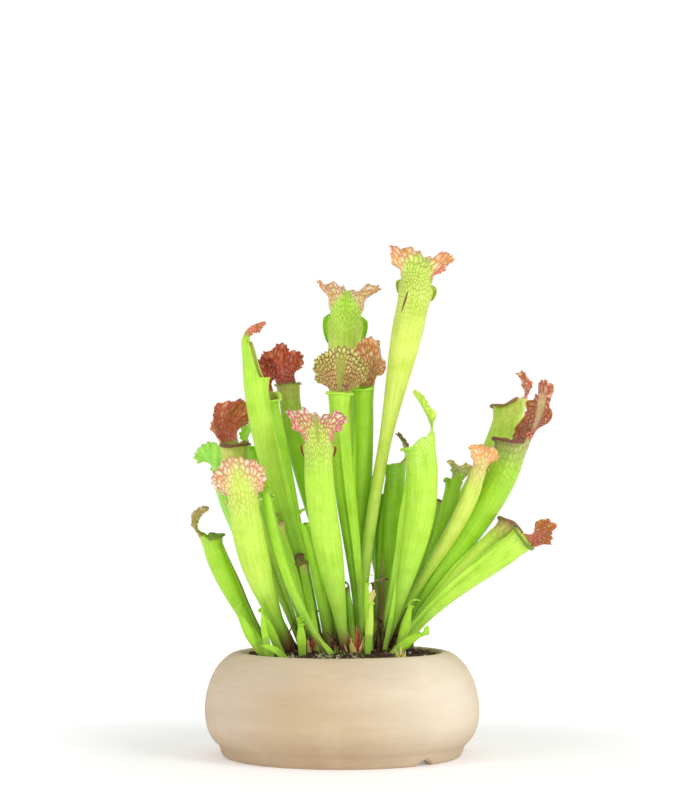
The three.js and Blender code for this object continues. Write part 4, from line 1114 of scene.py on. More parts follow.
def make_pitcher(leaf, material):
    made = Pitcher(leaf)
    bottom, top = made.trumpet()
    made.lip(top)
    if leaf["lid"]:
        made.lid(top[made.back])
    made.skin.doubled(made.sheet, made.partner, set(bottom))
    made.stalk(bottom)
    return made.skin.piece(leaf["name"] + "_leaf", material)


# %% [markdown]
# The flat leaves have no trumpet: each is a thin blade, folded a little along its midrib, that
# runs out to a point.

# %% Making one flat blade
BLADE_THICKNESS = 1.2
BLADE_ROWS = 30
LAST_ROW = 0.985


def make_blade(leaf, material):
    skin = Skin()
    corners = np.radians(np.arange(0, 360, 15))
    rows = []
    for t in np.linspace(0, LAST_ROW, BLADE_ROWS):
        centre, _, front, side = (a[0] for a in axes_at(leaf, TIP * t))
        half = leaf["wide"] / 2 * (0.55 + 0.45 * math.sin(math.pi * min(1, t + 0.15)))
        half = half * (1 - ease((t - 0.75) / 0.25)) + 0.12
        across = half * np.sin(corners)
        fold = 0.25 * (np.abs(across) - half / 2)
        thick = BLADE_THICKNESS / 2 * (1 - 0.5 * t) * np.cos(corners) + fold
        points = centre + across[:, None] * side + thick[:, None] * front
        rows.append(skin.row(points, across / 6, t * 12, along_leaf=t))
    foot = skin.row(axes_at(leaf, TIP * 0)[0])[0]
    tip = skin.row(axes_at(leaf, TIP)[0], up=12.0, along_leaf=1.0)[0]
    skin.tube(rows, foot, tip)
    return skin.piece(leaf["name"] + "_leaf", material)

# %% [markdown]
# A living leaf is a thin, moist, waxy sheet: light goes in, scatters green and comes out again,
# so it glows. Soft down makes its edges pale, which sheen does here. The colours are picked as
# seen on the plant, and each is called by a name, as a painter's inks are.

# %% Inks
INK = {
    "stalk": "#A6CE48", "deep_green": "#8CC02E", "leaf": "#B2E43A", "lime": "#C2F050",
    "pale_lime": "#D2F662", "yellow_lime": "#DDF070", "mint": "#B2F068", "olive": "#AEB24A",
    "dark_olive": "#6C7630", "yellow_olive": "#D6D67A", "grey_green": "#B2BC78",
    "pale_grey_green": "#CBD298", "cream": "#FDEBBE", "straw": "#EBDA8E", "sand": "#E0B878",
    "tan": "#C2A274", "brown": "#8F6240", "umber": "#80402A", "purple_brown": "#8A5E52",
    "blush": "#F8D2C2", "peach": "#FACC96", "apricot": "#F8BC8C", "orange": "#F09858",
    "coral": "#DC7860", "brick": "#CC6A44", "rust": "#A8503A", "pink": "#F4A49C", "rose": "#D88A80",
    "salmon": "#E07C70", "red": "#CE5048", "magenta": "#BE3E5A", "wine": "#8C4250",
    "dark_red": "#90281F", "maroon": "#7A3834",
}
print(len(INK), "inks")

# %% [markdown]
# A look names the inks of a leaf's parts and says what stands out on it. laid: how much the
# distance from the midrib counts beside that up the lid, and from which sum to which the lid's
# colour comes in. On a leaf seen from behind, that colour stays at the sides.

# %% Looks
BEHIND = (0.6, 0.42, 0.78)
BEFORE = (0.0, 0.0, 0.12)
PLAIN = dict(
    foot="wine", stalk="stalk", tube="leaf", throat="leaf", lid="leaf", edge="leaf", vein="brown",
    veins_from=0.9, tube_veins=0.0, lid_veins=0.0, cell=3.4, midrib=None, midrib_width=0.1, lip=None,
    inside=None, side=None, one_side=False, spots=0.0, slit=None, laid=BEFORE, wing=None, bold=0.17,
    painted_highlight=0.75, tube_vein="olive", tube_cell=0.5,
)
LOOKS = {
    "pitcher_tallest": dict(
        tube="yellow_lime", throat="yellow_lime", lid="cream", edge="apricot", vein="coral",
        veins_from=0.86, tube_veins=0.7, lid_veins=0.95, cell=6.2, laid=(0.8, 0.74, 1.15),
        side="salmon", one_side=True, lip="olive", bold=0.15, tube_cell=0.9, tube_vein="dark_olive",
        slit=((-0.29, -4.0), (0.055, 2.4), 2),
    ),
    "pitcher_wide_hooded": dict(
        tube="yellow_lime", throat="pale_lime", lid="cream", edge="blush", vein="brick", veins_from=0.9,
        tube_veins=0.5, lid_veins=0.95, midrib="leaf", midrib_width=0.06, lip="deep_green",
        laid=(0.6, 0.5, 0.85), cell=4.4, bold=0.15, tube_cell=0.7, tube_vein="dark_olive",
    ),
    "pitcher_domed": dict(
        tube="leaf", throat="lime", lid="sand", edge="yellow_olive", vein="umber", lid_veins=1.0,
        midrib="olive", midrib_width=0.09, lip="lime", bold=0.23, painted_highlight=0.2, cell=3.1,
    ),
    "pitcher_red_net": dict(
        tube="leaf", throat="leaf", lid="peach", edge="apricot", vein="brick", lid_veins=1.0, cell=4.2,
        side="orange", lip="lime", bold=0.2, painted_highlight=0.8,
    ),
    "pitcher_pink_front": dict(
        tube="lime", throat="yellow_lime", lid="yellow_olive", edge="blush", vein="magenta",
        veins_from=0.84, tube_veins=0.7, lid_veins=1.0, midrib="olive", midrib_width=0.05, laid=BEHIND,
        lip="dark_red", side="pink", cell=4.2, bold=0.15, tube_cell=0.75, tube_vein="dark_olive",
    ),
    "pitcher_yellow_left": dict(
        tube="pale_lime", throat="yellow_lime", lid="cream", edge="blush", vein="brick",
        veins_from=0.8, tube_veins=0.6, lid_veins=0.95, cell=4.2, laid=(0.75, 0.55, 1.15),
    ),
    "pitcher_far_left": dict(
        tube="leaf", throat="leaf", lid="olive", edge="tan", vein="brown", veins_from=0.85,
        tube_veins=0.5, lid_veins=0.5, lip="dark_olive", midrib="straw", wing="purple_brown",
    ),
    "pitcher_red_left": dict(
        tube="yellow_lime", throat="yellow_olive", lid="salmon", edge="salmon", vein="red",
        veins_from=0.72, tube_veins=0.7, lid_veins=0.85, cell=4.4, lip="maroon",
        inside="olive", side="pink", tube_vein="olive", painted_highlight=0.3, bold=0.2,
    ),
    "pitcher_green_leftmost": dict(tube="mint", throat="mint", lid="mint", edge="mint"),
    "pitcher_green_hidden": dict(tube="mint", throat="leaf", lid="lime", edge="mint", wing="maroon"),
    "pitcher_tall_left": dict(
        tube="lime", throat="lime", lid="apricot", edge="salmon", vein="red", lid_veins=0.5,
        laid=(0.0, 0.3, 0.5), lip="lime", inside="olive",
    ),
    "pitcher_olive_mouthed": dict(
        tube="leaf", throat="leaf", lid="red", edge="dark_red", vein="dark_red", lid_veins=0.8,
        lip="lime", inside="olive", painted_highlight=0.15, bold=0.28,
    ),
    "pitcher_dark_red": dict(
        tube="leaf", throat="yellow_olive", lid="red", edge="red", vein="dark_red", veins_from=0.8,
        tube_veins=0.35, lid_veins=0.8, midrib="brick", midrib_width=0.04, side="salmon", lip="olive",
        inside="purple_brown", tube_vein="brown", painted_highlight=0.2, bold=0.22, cell=4.4,
    ),
    "pitcher_bright_right": dict(tube="lime", throat="lime", lid="lime", edge="pale_lime", spots=0.5),
    "pitcher_spotted": dict(tube="leaf", throat="leaf", lid="straw", edge="brown", spots=0.5),
    "pitcher_veined_back": dict(
        tube="pale_lime", throat="yellow_lime", lid="pink", edge="salmon", vein="red",
        veins_from=0.78, tube_veins=0.45, lid_veins=0.6, lip="brown", side="salmon",
    ),
    "pitcher_veined_front": dict(
        tube="leaf", throat="grey_green", lid="rose", edge="salmon", vein="dark_red", veins_from=0.78,
        tube_veins=0.75, lid_veins=0.8, midrib="blush", lip="maroon", side="brick", wing="purple_brown",
        tube_vein="brown", painted_highlight=0.35, bold=0.22, cell=4.2,
    ),
    "pitcher_orange": dict(
        tube="yellow_lime", throat="straw", lid="peach", edge="apricot", vein="orange", veins_from=0.88,
        tube_veins=0.5, lid_veins=0.9, laid=BEHIND, cell=4.4, tube_vein="brown",
    ),
    "pitcher_grey_frilled": dict(
        tube="lime", throat="leaf", lid="pale_grey_green", edge="straw", vein="brown",
        veins_from=0.84, tube_veins=0.4, lid_veins=0.6, laid=BEHIND,
    ),
    "pitcher_leaning_back": dict(
        tube="pale_lime", throat="tan", vein="rust", veins_from=0.75, tube_veins=0.55,
        tube_vein="rust", lip="brown",
    ),
    "pitcher_leaning_front": dict(
        tube="lime", throat="pale_lime", lid="salmon", edge="coral", vein="rust",
        veins_from=0.95, tube_veins=0.2, lid_veins=0.45, lip="dark_olive", side="coral",
    ),
    "pitcher_brown_edged": dict(
        tube="lime", throat="yellow_olive", vein="brown", veins_from=0.7, tube_veins=0.5, lip="brown",
    ),
    "pitcher_dark_green": dict(tube="leaf", throat="deep_green"),
    "pitcher_yellow_short": dict(tube="lime", throat="straw", lid="straw", edge="tan", lip="tan"),
    "pitcher_brown_mouthed": dict(
        tube="leaf", throat="straw", lid="tan", edge="brown", vein="brown", veins_from=0.7,
        tube_veins=0.5, lid_veins=0.5, lip="brown",
    ),
    "pitcher_hidden_red": dict(
        tube="leaf", throat="leaf", lid="red", edge="red", vein="dark_red", lid_veins=0.8,
    ),
    "young_dark_headed": dict(
        tube="deep_green", throat="dark_olive", lid="dark_olive", edge="dark_olive",
    ),
    "young_front_bright": dict(tube="pale_lime", throat="pale_lime", lid="straw", edge="straw"),
    "withered_pitcher": dict(
        stalk="olive", tube="dark_olive", throat="dark_olive", lid="tan", edge="purple_brown",
        lip="purple_brown",
    ),
    "blade_dry": dict(foot="brown", stalk="tan", tube="tan", throat="straw"),
}
print(len(LOOKS), "leaves have a look of their own, the others the plain one")

# %% [markdown]
# The ground colour is laid in steps, as on the plant: a wine-red foot of a finger's width, the
# stalk, the trumpet and its throat, then the lid. On a leaf that is seen from behind, the
# trumpet's green runs up the middle of the lid, and the lid's colour comes in from its sides.
# The sides can be redder than the rest, both of them or only one.

# %% The ground colour of a leaf
FOOT_BLUSH = 17
GREEN_FROM = 36


def ground_colour(tree, look, marks, x, off_midrib):
    ink = {part: linear(INK[name]) for part, name in look.items() if name in INK}
    on_lid = marks["out_on_lid"]
    bare = 1.0
    ramp = add(tree, "ShaderNodeValToRGB", {0: marks["along_leaf"]})
    stops = ramp.node.color_ramp.elements
    stops[0].position = FOOT_BLUSH / look["length"]
    stops[0].color = ink["foot"]
    stops[1].position = 1.0
    stops[1].color = ink["throat"]
    green_from = min(0.5, GREEN_FROM / look["length"])
    for position, part in ((green_from, "stalk"), (0.55, "tube"), (0.88, "tube")):
        stops.new(position).color = ink[part]
    factor, low, high = look["laid"]
    on_top = add(tree, RANGE, {0: on_lid, 1: 0.0, 2: 0.06})
    across = add(tree, MATH, {0: off_midrib, 1: factor, 2: on_lid}, **TIMES_PLUS)
    across = add(tree, RANGE, {0: across, 1: low, 2: high}, **SOFTLY)
    share = add(tree, MATH, {0: on_top, 1: across}, **TIMES)
    outer = add(tree, RANGE, {0: on_lid, 1: 0.5, 2: 1.0}, **SOFTLY)
    lid = add(tree, MIX, {0: outer, 6: ink["lid"], 7: ink["edge"]}, **COLOURS)
    if look["side"]:
        across = x if look["one_side"] else off_midrib
        sideways = add(tree, RANGE, {0: across, 1: 0.45, 2: 0.9}, **SOFTLY)
        lid = add(tree, MIX, {0: sideways, 6: lid, 7: ink["side"]}, **COLOURS)
    ground = add(tree, MIX, {0: share, 6: ramp, 7: lid}, **COLOURS)
    if look["midrib"]:
        width = look["midrib_width"]
        near = add(tree, RANGE, {0: off_midrib, 1: width, 2: 1.8 * width, 3: 0.9, 4: 0.0}, **SOFTLY)
        below = add(tree, RANGE, {0: on_lid, 1: 0.75, 2: 0.95, 3: 1.0, 4: 0.0})
        near = add(tree, MATH, {0: near, 1: below}, **TIMES)
        near = add(tree, MATH, {0: near, 1: on_top}, **TIMES)
        ground = add(tree, MIX, {0: near, 6: ground, 7: ink["midrib"]}, **COLOURS)
        bare = add(tree, MATH, {0: near, 1: -0.8, 2: 1.0}, **TIMES_PLUS)
    if look["wing"]:
        keel = add(tree, RANGE, {0: off_midrib, 1: 2.38, 2: 2.46, 4: 0.8})
        ground = add(tree, MIX, {0: keel, 6: ground, 7: ink["wing"]}, **COLOURS)
    return ground, share, bare


# %% [markdown]
# Fine lengthwise streaks, soft clouds and small specks each darken the green a little, so that it
# isn't flat.

# %% Streaks, clouds and specks


def streaked(tree, sheet, ground):
    at = add(tree, "ShaderNodeTexCoord", out="Object")
    fine_map = add(tree, "ShaderNodeMapping", {"Vector": sheet, "Scale": (11.0, 0.12, 1)})
    streaks = add(tree, NOISE, {"Vector": fine_map, "Scale": 1.0, "Detail": 3.0})
    clouds = add(tree, NOISE, {"Vector": at, "Scale": 70.0, "Detail": 3.0})
    specks = add(tree, "ShaderNodeTexVoronoi", {"Vector": at, "Scale": 420.0}, "Distance")
    for pattern, first, last, least, most, tint in (
        (streaks, 0.42, 0.66, 0.0, 0.6, "#D8E894"),
        (clouds, 0.45, 0.7, 0.0, 0.55, "#DEE49A"),
        (specks, 0.1, 0.22, 0.35, 0.0, "#B8B070"),
    ):
        share = add(tree, RANGE, {0: pattern, 1: first, 2: last, 3: least, 4: most})
        tinted = add(tree, MIX, {0: 1.0, 6: ground, 7: linear(tint)}, **DARKER)
        ground = add(tree, MIX, {0: share, 6: ground, 7: tinted}, **COLOURS)
    return ground, streaks


# %% [markdown]
# Then the net of veins: they are the borders between the cells of a Voronoi pattern, laid on the
# unrolled leaf. On the lid the cells are round. On the neck and the trumpet they are stretched
# along the leaf, and a wavering border leads from one kind to the other. The middle of each cell
# is lightened towards near-white: a painted highlight, as if each domed cell caught the light.

# %% The net and its colour


def vein_gap(tree, look, sheet, on_lid):
    """How far a place is from the nearest vein, in cells."""
    gaps = []
    tube_cell = look["tube_cell"]
    for size, tall, seed in ((1.0, 3.6 / look["cell"], 0.0), (tube_cell, 1.2 * tube_cell, 3.0)):
        scale = (look["cells"] / 2 * size, tall, 1)
        place = {"Vector": sheet, "Location": (seed, 0, 0), "Scale": scale}
        place = add(tree, "ShaderNodeMapping", place)
        waver = add(tree, NOISE, {"Vector": place, "Scale": 0.7, "Detail": 1.0}, "Color")
        bent = {0: waver, 1: (0.7, 0.7, 0.0), 2: place}
        bent = add(tree, VECTORS, bent, **TIMES_PLUS)
        cells = {"Vector": bent, "Scale": 1.0, "Randomness": 0.8}
        net = {"voronoi_dimensions": "2D", "feature": "DISTANCE_TO_EDGE"}
        gaps.append(add(tree, "ShaderNodeTexVoronoi", cells, "Distance", **net))
    shift = add(tree, NOISE, {"Vector": sheet, "Scale": 4.0, "Detail": 1.0})
    border = add(tree, MATH, {0: shift, 1: 0.5, 2: on_lid}, **TIMES_PLUS)
    finer = add(tree, RANGE, {0: border, 1: 0.6, 2: 0.66})
    return add(tree, MIX, {0: finer, 2: gaps[1], 3: gaps[0]}, data_type="FLOAT")


def veined(tree, look, marks, ground, gap, share, bare):
    inks = {6: linear(INK[look["tube_vein"]]), 7: linear(INK[look["vein"]])}
    ink = add(tree, MIX, {0: share, **inks}, **COLOURS)
    bold = add(tree, RANGE, {0: share, 3: 0.12, 4: look["bold"]})
    core = add(tree, RANGE, {0: gap, 1: 0.03, 2: bold, 3: 1.0, 4: 0.0}, **SOFTLY)
    halo = add(tree, RANGE, {0: gap, 1: 0.1, 2: 0.42, 3: 0.35, 4: 0.0}, **SOFTLY)
    mask = add(tree, MATH, {0: core, 1: halo}, operation="MAXIMUM")
    low = {0: marks["along_leaf"], 1: look["veins_from"], 2: 1.0, 4: look["tube_veins"]}
    low = add(tree, RANGE, low)
    strength = add(tree, MIX, {0: share, 2: low, 3: look["lid_veins"]}, data_type="FLOAT")
    strength = add(tree, MATH, {0: strength, 1: bare}, **TIMES)
    amount = add(tree, MATH, {0: mask, 1: strength}, **TIMES)
    colour = add(tree, MIX, {0: amount, 6: ground, 7: ink}, **COLOURS)
    # Painted highlight: the middle of each cell is lightened towards near-white, most of all on the lid.
    painted_highlight = add(tree, RANGE, {0: gap, 1: 0.24, 2: 0.5, 4: look["painted_highlight"]}, **SOFTLY)
    pale = add(tree, RANGE, {0: share, 3: 0.35, 4: 1.0})
    pale = add(tree, MATH, {0: pale, 1: strength}, **TIMES)
    painted_highlight = add(tree, MATH, {0: painted_highlight, 1: pale}, **TIMES)
    return add(tree, MIX, {0: painted_highlight, 6: colour, 7: linear("#FFF6DC")}, **COLOURS)


# %% [markdown]
# Then the marks of single leaves: pale windows below the mouth, which let light in, a brown slit
# torn into the tallest one, the colour inside the mouth and that of the rolled lip.

# %% Windows, the slit, the inside and the lip
WINDOW = linear("#ECF8C8")
SCAR = linear("#6A3214")


def marked(tree, look, marks, sheet, colour):
    below_lid = add(tree, RANGE, {0: marks["out_on_lid"], 1: 0.0, 2: 0.08, 3: 1.0, 4: 0.0})
    if look["spots"]:
        window = add(tree, "ShaderNodeMapping", {"Vector": sheet, "Scale": (9.0, 1.2, 1)})
        window = {"Vector": window, "Scale": 1.0}
        window = add(tree, "ShaderNodeTexVoronoi", window, voronoi_dimensions="2D")
        window = add(tree, RANGE, {0: window, 1: 0.16, 2: 0.32, 3: look["spots"], 4: 0.0}, **SOFTLY)
        upper = add(tree, RANGE, {0: marks["along_leaf"], 1: 0.84, 2: 0.96}, **SOFTLY)
        window = add(tree, MATH, {0: window, 1: upper}, **TIMES)
        window = add(tree, MATH, {0: window, 1: below_lid}, **TIMES)
        colour = add(tree, MIX, {0: window, 6: colour, 7: WINDOW}, **COLOURS)
    if look["slit"]:
        middle, half, turned = look["slit"]
        slit_map = {"Vector": sheet, "Location": (*middle, 0), "Scale": (*half, 1)}
        slit_map["Rotation"] = (0, 0, math.radians(-turned))
        torn = add(tree, "ShaderNodeMapping", slit_map, vector_type="TEXTURE")
        torn = add(tree, VECTORS, {0: torn}, "Value", operation="LENGTH")
        torn = add(tree, RANGE, {0: torn, 1: 0.7, 2: 1.0, 3: 1.0, 4: 0.0}, **SOFTLY)
        colour = add(tree, MIX, {0: torn, 6: colour, 7: SCAR}, **COLOURS)
    if look["inside"]:
        within = add(tree, MATH, {0: marks["inside_trumpet"], 1: below_lid}, **TIMES)
        colour = add(tree, MIX, {0: within, 6: colour, 7: linear(INK[look["inside"]])}, **COLOURS)
    if look["lip"]:
        lip = add(tree, MATH, {0: marks["on_lip"], 1: 0.9}, **TIMES)
        colour = add(tree, MIX, {0: lip, 6: colour, 7: linear(INK[look["lip"]])}, **COLOURS)
    return colour


# %% [markdown]
# Now the parts come together in one material. The leaf bulges a little between its veins, and the
# streaks are shallow ribs, so both also lift its surface. Green light scatters farthest in a
# leaf, red less far and blue hardly at all, and the scattering's radius says so for each.

# %% Living leaf, veined and downy
LEAF_IOR = 1.42


def living_leaf(name, look):
    material, tree = new_material(name)
    marks = {}
    for label in MARKS:
        marks[label] = add(tree, "ShaderNodeAttribute", out="Fac", attribute_name=label)
    sheet = add(tree, "ShaderNodeUVMap", uv_map="leaf_sheet")
    x = add(tree, "ShaderNodeSeparateXYZ", {0: sheet}, "X")
    off_midrib = add(tree, MATH, {0: x}, operation="ABSOLUTE")
    ground, share, bare = ground_colour(tree, look, marks, x, off_midrib)
    ground, streaks = streaked(tree, sheet, ground)
    gap = vein_gap(tree, look, sheet, marks["out_on_lid"])
    colour = veined(tree, look, marks, ground, gap, share, bare)
    colour = marked(tree, look, marks, sheet, colour)
    dome = add(tree, RANGE, {0: gap, 1: 0.0, 2: 0.4}, **SOFTLY)
    bulging = add(tree, RANGE, {0: share, 3: 0.15, 4: 1.0})
    dome = add(tree, MATH, {0: dome, 1: bulging}, **TIMES)
    relief = add(tree, MATH, {0: streaks, 1: 0.5, 2: dome}, **TIMES_PLUS)
    bump = add(tree, "ShaderNodeBump", {"Height": relief, "Strength": 0.55, "Distance": 0.0008})
    shader = {
        "Base Color": colour,
        "Roughness": 0.45,
        "IOR": LEAF_IOR,
        "Normal": bump,
        "Subsurface Weight": 0.5,
        "Subsurface Radius": (0.6, 1.0, 0.15),
        "Subsurface Scale": 0.002,
        "Sheen Weight": 0.1,
        "Sheen Roughness": 0.4,
    }
    shader = add(tree, PRINCIPLED, shader)
    add(tree, "ShaderNodeOutputMaterial", {"Surface": shader})
    return material


# %% [markdown]
# Every leaf is made and takes the place of its plain solid. How many cells its net has across
# follows from the leaf's width and the real size of a cell. The leaves with wide lids are kept
# in a list, because stiff hairs will be planted on those.

# %% All the leaves
BRISTLY_FROM = 20
triangles = 0
lidded = []
for make, group in ((make_pitcher, PITCHERS), (make_pitcher, YOUNG), (make_blade, BLADES)):
    for leaf in group:
        across = leaf["lid"]["wide"] if leaf.get("lid") else leaf.get("mouth", 8)
        look = {**PLAIN, "foot": "wine" if leaf in PITCHERS else "stalk", **LOOKS.get(leaf["name"], {})}
        look["length"] = rise_of(leaf)
        look["cells"] = 2.0 * across / look["cell"]
        piece = make(leaf, living_leaf("living_" + leaf["name"], look))
        keep(piece, [leaf["name"]])
        if leaf in PITCHERS and leaf["lid"] and leaf["lid"]["wide"] >= BRISTLY_FROM:
            lidded.append(piece)
        triangles += sum(len(f.vertices) - 2 for f in piece.data.polygons)
print("the leaves hold", triangles, "triangles")

# %% [markdown]
# Wet peat is almost black, crumbly and without shine. Its lumps are a few millimetres across.

# %% Moist peat


def peat():
    material, tree = new_material("moist_peat")
    at = add(tree, "ShaderNodeTexCoord", out="Object")
    lumps = {"Vector": at, "Scale": 260.0, "Detail": 6.0, "Roughness": 0.7}
    lumps = add(tree, NOISE, lumps)
    tone = add(tree, MIX, {0: lumps, 6: linear("#0E0806"), 7: linear("#4A3022")}, **COLOURS)
    bump = add(tree, "ShaderNodeBump", {"Height": lumps, "Strength": 0.9, "Distance": 0.002})
    shader = {"Base Color": tone, "Roughness": 0.8, "Normal": bump}
    shader = add(tree, PRINCIPLED, shader)
    add(tree, "ShaderNodeOutputMaterial", {"Surface": shader})
    return material


PEAT = peat()


# %% [markdown]
# The soil is heaped a little in the middle. Its body fills the bowl, and its top is a fine relief
# of lumps and hollows that fade out at the bowl's wall.

# %% The soil
SOIL_TOP = 85
SOIL_PROFILE = [(77, 78.5), (71, 80.5), (56, 82.5), (36, 84.5), (12, SOIL_TOP), (0, SOIL_TOP)]
SOIL_RADIUS = SOIL_PROFILE[0][0]
LUMP_HEIGHT = 1.1
LUMP_LENGTH = 11
LUMPS_END = 78.5
LUMPS_FADE = 8
SOIL_SIDES = 200
SOIL_RINGS = 76


def soil_height(x, y):
    radius = math.hypot(x, y)
    level = np.interp(-radius, [-r for r, _ in SOIL_PROFILE], [z for _, z in SOIL_PROFILE])
    lumps = noise.fractal(Vector((x / LUMP_LENGTH, y / LUMP_LENGTH, 3.0)), 1.0, 2.2, 5)
    return level + LUMP_HEIGHT * lumps * min(1.0, (LUMPS_END - radius) / LUMPS_FADE)


def make_soil():
    skin = Skin()
    angles = np.linspace(0, 2 * math.pi, SOIL_SIDES, endpoint=False)
    wall = [(0.01, FLOOR_TOP + GAP)] + inner_wall(GAP)[::-1]
    rows = []
    for radius, height in wall:
        ring = [radius * np.cos(angles), radius * np.sin(angles), np.full(len(angles), height)]
        rows.append(skin.row(np.stack(ring, axis=1)))
    for radius in np.linspace(SOIL_RADIUS, 0.6, SOIL_RINGS):
        x = radius * np.cos(angles)
        y = radius * np.sin(angles)
        z = np.array([soil_height(a, b) for a, b in zip(x, y)])
        rows.append(skin.row(np.stack([x, y, z], axis=1)))
    low = skin.row(np.array([[0, 0, FLOOR_TOP + GAP]]))[0]
    high = skin.row(np.array([[0, 0, soil_height(0, 0)]]))[0]
    skin.tube(rows, low, high)
    return skin.piece("heaped_soil", PEAT)


soil = make_soil()
keep(soil, ["potting_soil"])
print("the soil has", len(soil.data.polygons), "faces")

# %% [markdown]
# A crown bud is a knot of pointed scales, each a curved sheath that wraps the next one. The outer
# ones are short, dry and pale, and the inner ones taller and red. As on most plants, each scale
# stands about 137 degrees, or 2.4 radians, further round than the one before.

# %% Crown buds
SCALE_THICKNESS = 0.5
BUD_FOOT = 76
GOLDEN_TURN = 2.4
SCALE = {**PLAIN, "length": 60, "cells": 6}
FRESH = {**SCALE, "foot": "rose", "stalk": "magenta", "tube": "red", "throat": "peach"}
DRY = {**SCALE, "foot": "rust", "stalk": "tan", "tube": "straw", "throat": "cream"}
UP = np.array([0, 0, 1.0])


def out_and_across(turn):
    """Level directions at a turn round the upright axis: away from it, and at right angles."""
    out = np.array([math.cos(turn), math.sin(turn), 0])
    return out, np.cross(UP, out)


def add_scale(skin, bud, turn, radius, tall, bow):
    """One pointed sheath that stands at a turn round the bud and bows outwards by some degrees."""
    centre = np.array([*bud["at"], BUD_FOOT])
    out, across = out_and_across(turn)
    rows = []
    for t in np.linspace(0, 1, 9):
        half = math.radians(62) * (1 - t**2.2) + 0.03
        bowed = radius * (1 + 0.5 * math.sin(2.4 * t)) + math.tan(math.radians(bow)) * tall * t**2.5
        places = []
        outer = np.linspace(-half, half, 7)
        for angle, inset in ((outer, 0), (outer[::-1], SCALE_THICKNESS)):
            round_it = radius - inset
            offset = (bowed - radius + round_it * np.cos(angle))[:, None] * out
            offset = offset + (round_it * np.sin(angle))[:, None] * across
            places.append(centre + offset + tall * t * UP)
        rows.append(skin.row(np.concatenate(places), along_leaf=t))
    tip = centre + (bowed + 0.4) * out + tall * 1.04 * UP
    tip = skin.row(tip[None], along_leaf=1.0)[0]
    low = skin.row((centre + radius * 0.8 * out)[None])[0]
    skin.tube(rows, low, tip)


def make_bud(bud, outer, material):
    skin = Skin()
    count = bud["scales"] if outer else bud["scales"] + 1
    for i in range(count):
        turn = GOLDEN_TURN * i + (0.9 if outer else 0.0) - 1.3
        share = (0.72 - 0.06 * i) if outer else (1 - 0.09 * i)
        radius = bud["radius"] * ((0.85 + 0.05 * i) if outer else (0.35 + 0.08 * i))
        tall = (bud["tall"] + SOIL_TOP - BUD_FOOT - 4) * share
        add_scale(skin, bud, turn, radius, tall, 9 + 4 * (i % 3) if outer else 4 + 3 * (i % 3))
    return skin.piece(bud["name"] + ("_sheaths" if outer else "_scales"), material)


for bud in BUDS:
    look = DRY if bud["name"] == "crown_bud_right" else FRESH
    scales = make_bud(bud, False, living_leaf("living_" + bud["name"], look))
    keep(scales, [bud["name"]])
    sheaths = make_bud(bud, True, living_leaf("dry_" + bud["name"], DRY))
    keep(sheaths)
print(len(BUDS), "crown buds are made")

# %% [markdown]
# Loose things lie on the soil: crumbs of peat, chips of bark, pale grains of perlite, scraps of
# bleached bog moss, green moss shoots and the dry stubs of old leaves between the stalks. A few
# shapes of each are made one by one. One Geometry Nodes tree then strews them over a surface, more
# densely where that surface's own attribute is higher.

# %% A tree that strews shapes


def scattered(tree, given):
    """Points strewn over a mesh, as densely as the attribute named Where says. Its outputs."""
    share = add(tree, "GeometryNodeInputNamedAttribute", {"Name": given["Where"]}, data_type="FLOAT")
    density = add(tree, MATH, {0: share, 1: given["Density"]}, **TIMES)
    points = {"Mesh": given["Geometry"], "Density": density, "Seed": given["Seed"]}
    points = add(tree, "GeometryNodeDistributePointsOnFaces", points, distribute_method="RANDOM")
    return points.node.outputs


def strewing_tree():
    tree, given = start_tree(
        "strewn_shapes",
        [
            ("Shapes", "Collection", None), ("Where", "String", "open"),
            ("Density", "Float", 1000.0), ("Smallest", "Float", 0.5),
            ("Largest", "Float", 1.0), ("Tilt", "Float", 0.5),
            ("Seed", "Int", 1), ("Material", "Material", None),
        ],
    )
    points = scattered(tree, given)["Points"]
    shapes = {"Collection": given["Shapes"], "Separate Children": True, "Reset Children": True}
    shapes = add(tree, "GeometryNodeCollectionInfo", shapes)
    lowest = add(tree, MATH, {0: given["Tilt"], 1: -1.0}, **TIMES)
    least = add(tree, "ShaderNodeCombineXYZ", {0: lowest, 1: lowest, 2: 0.0})
    most = add(tree, "ShaderNodeCombineXYZ", {0: given["Tilt"], 1: given["Tilt"], 2: 2 * math.pi})
    turned = {0: least, 1: most, "Seed": given["Seed"]}
    turned = add(tree, "FunctionNodeRandomValue", turned, data_type="FLOAT_VECTOR")
    other = add(tree, MATH, {0: given["Seed"], 1: 7.0}, operation="ADD")
    sized = {2: given["Smallest"], 3: given["Largest"], "Seed": other}
    sized = add(tree, "FunctionNodeRandomValue", sized, out=1, data_type="FLOAT")
    strewn = {"Points": points, "Instance": shapes, "Rotation": turned, "Scale": sized}
    strewn = {**strewn, "Pick Instance": True}
    strewn = add(tree, "GeometryNodeInstanceOnPoints", strewn)
    return end_tree(tree, strewn, given["Material"])


STREWING = strewing_tree()
print("the strewing tree has", len(STREWING.nodes), "nodes")

# %% [markdown]
# A lump is a ball of few faces that noise has broken: squashed it is a crumb, a chip or a grain.

# %% Lumps
rng = np.random.default_rng(11)


def shape(name, points, faces):
    mesh = bpy.data.meshes.new(name)
    mesh.from_pydata([tuple(p) for p in points], [], faces)
    facing_out(mesh)
    return bpy.data.objects.new(name, mesh)


def lump(name, size, rough):
    """A broken lump. size: its length, width and height in millimetres."""
    work = bmesh.new()
    bmesh.ops.create_icosphere(work, subdivisions=1, radius=1)
    start = Vector(rng.uniform(-9, 9, 3))
    points = []
    for v in work.verts:
        far = 1 + rough * noise.noise(v.co * 1.3 + start)
        points.append([v.co[i] * far * size[i] * MM / 2 for i in range(3)])
    faces = [[v.index for v in f.verts] for f in work.faces]
    work.free()
    return shape(name, points, faces)


# %% [markdown]
# A stub is a thin bent sheath that narrows to its broken top. A moss shoot is a spiral of small
# pointed leaves. Each shape is strewn by the hundred, so it has only a few dozen faces.

# %% Stubs and moss shoots


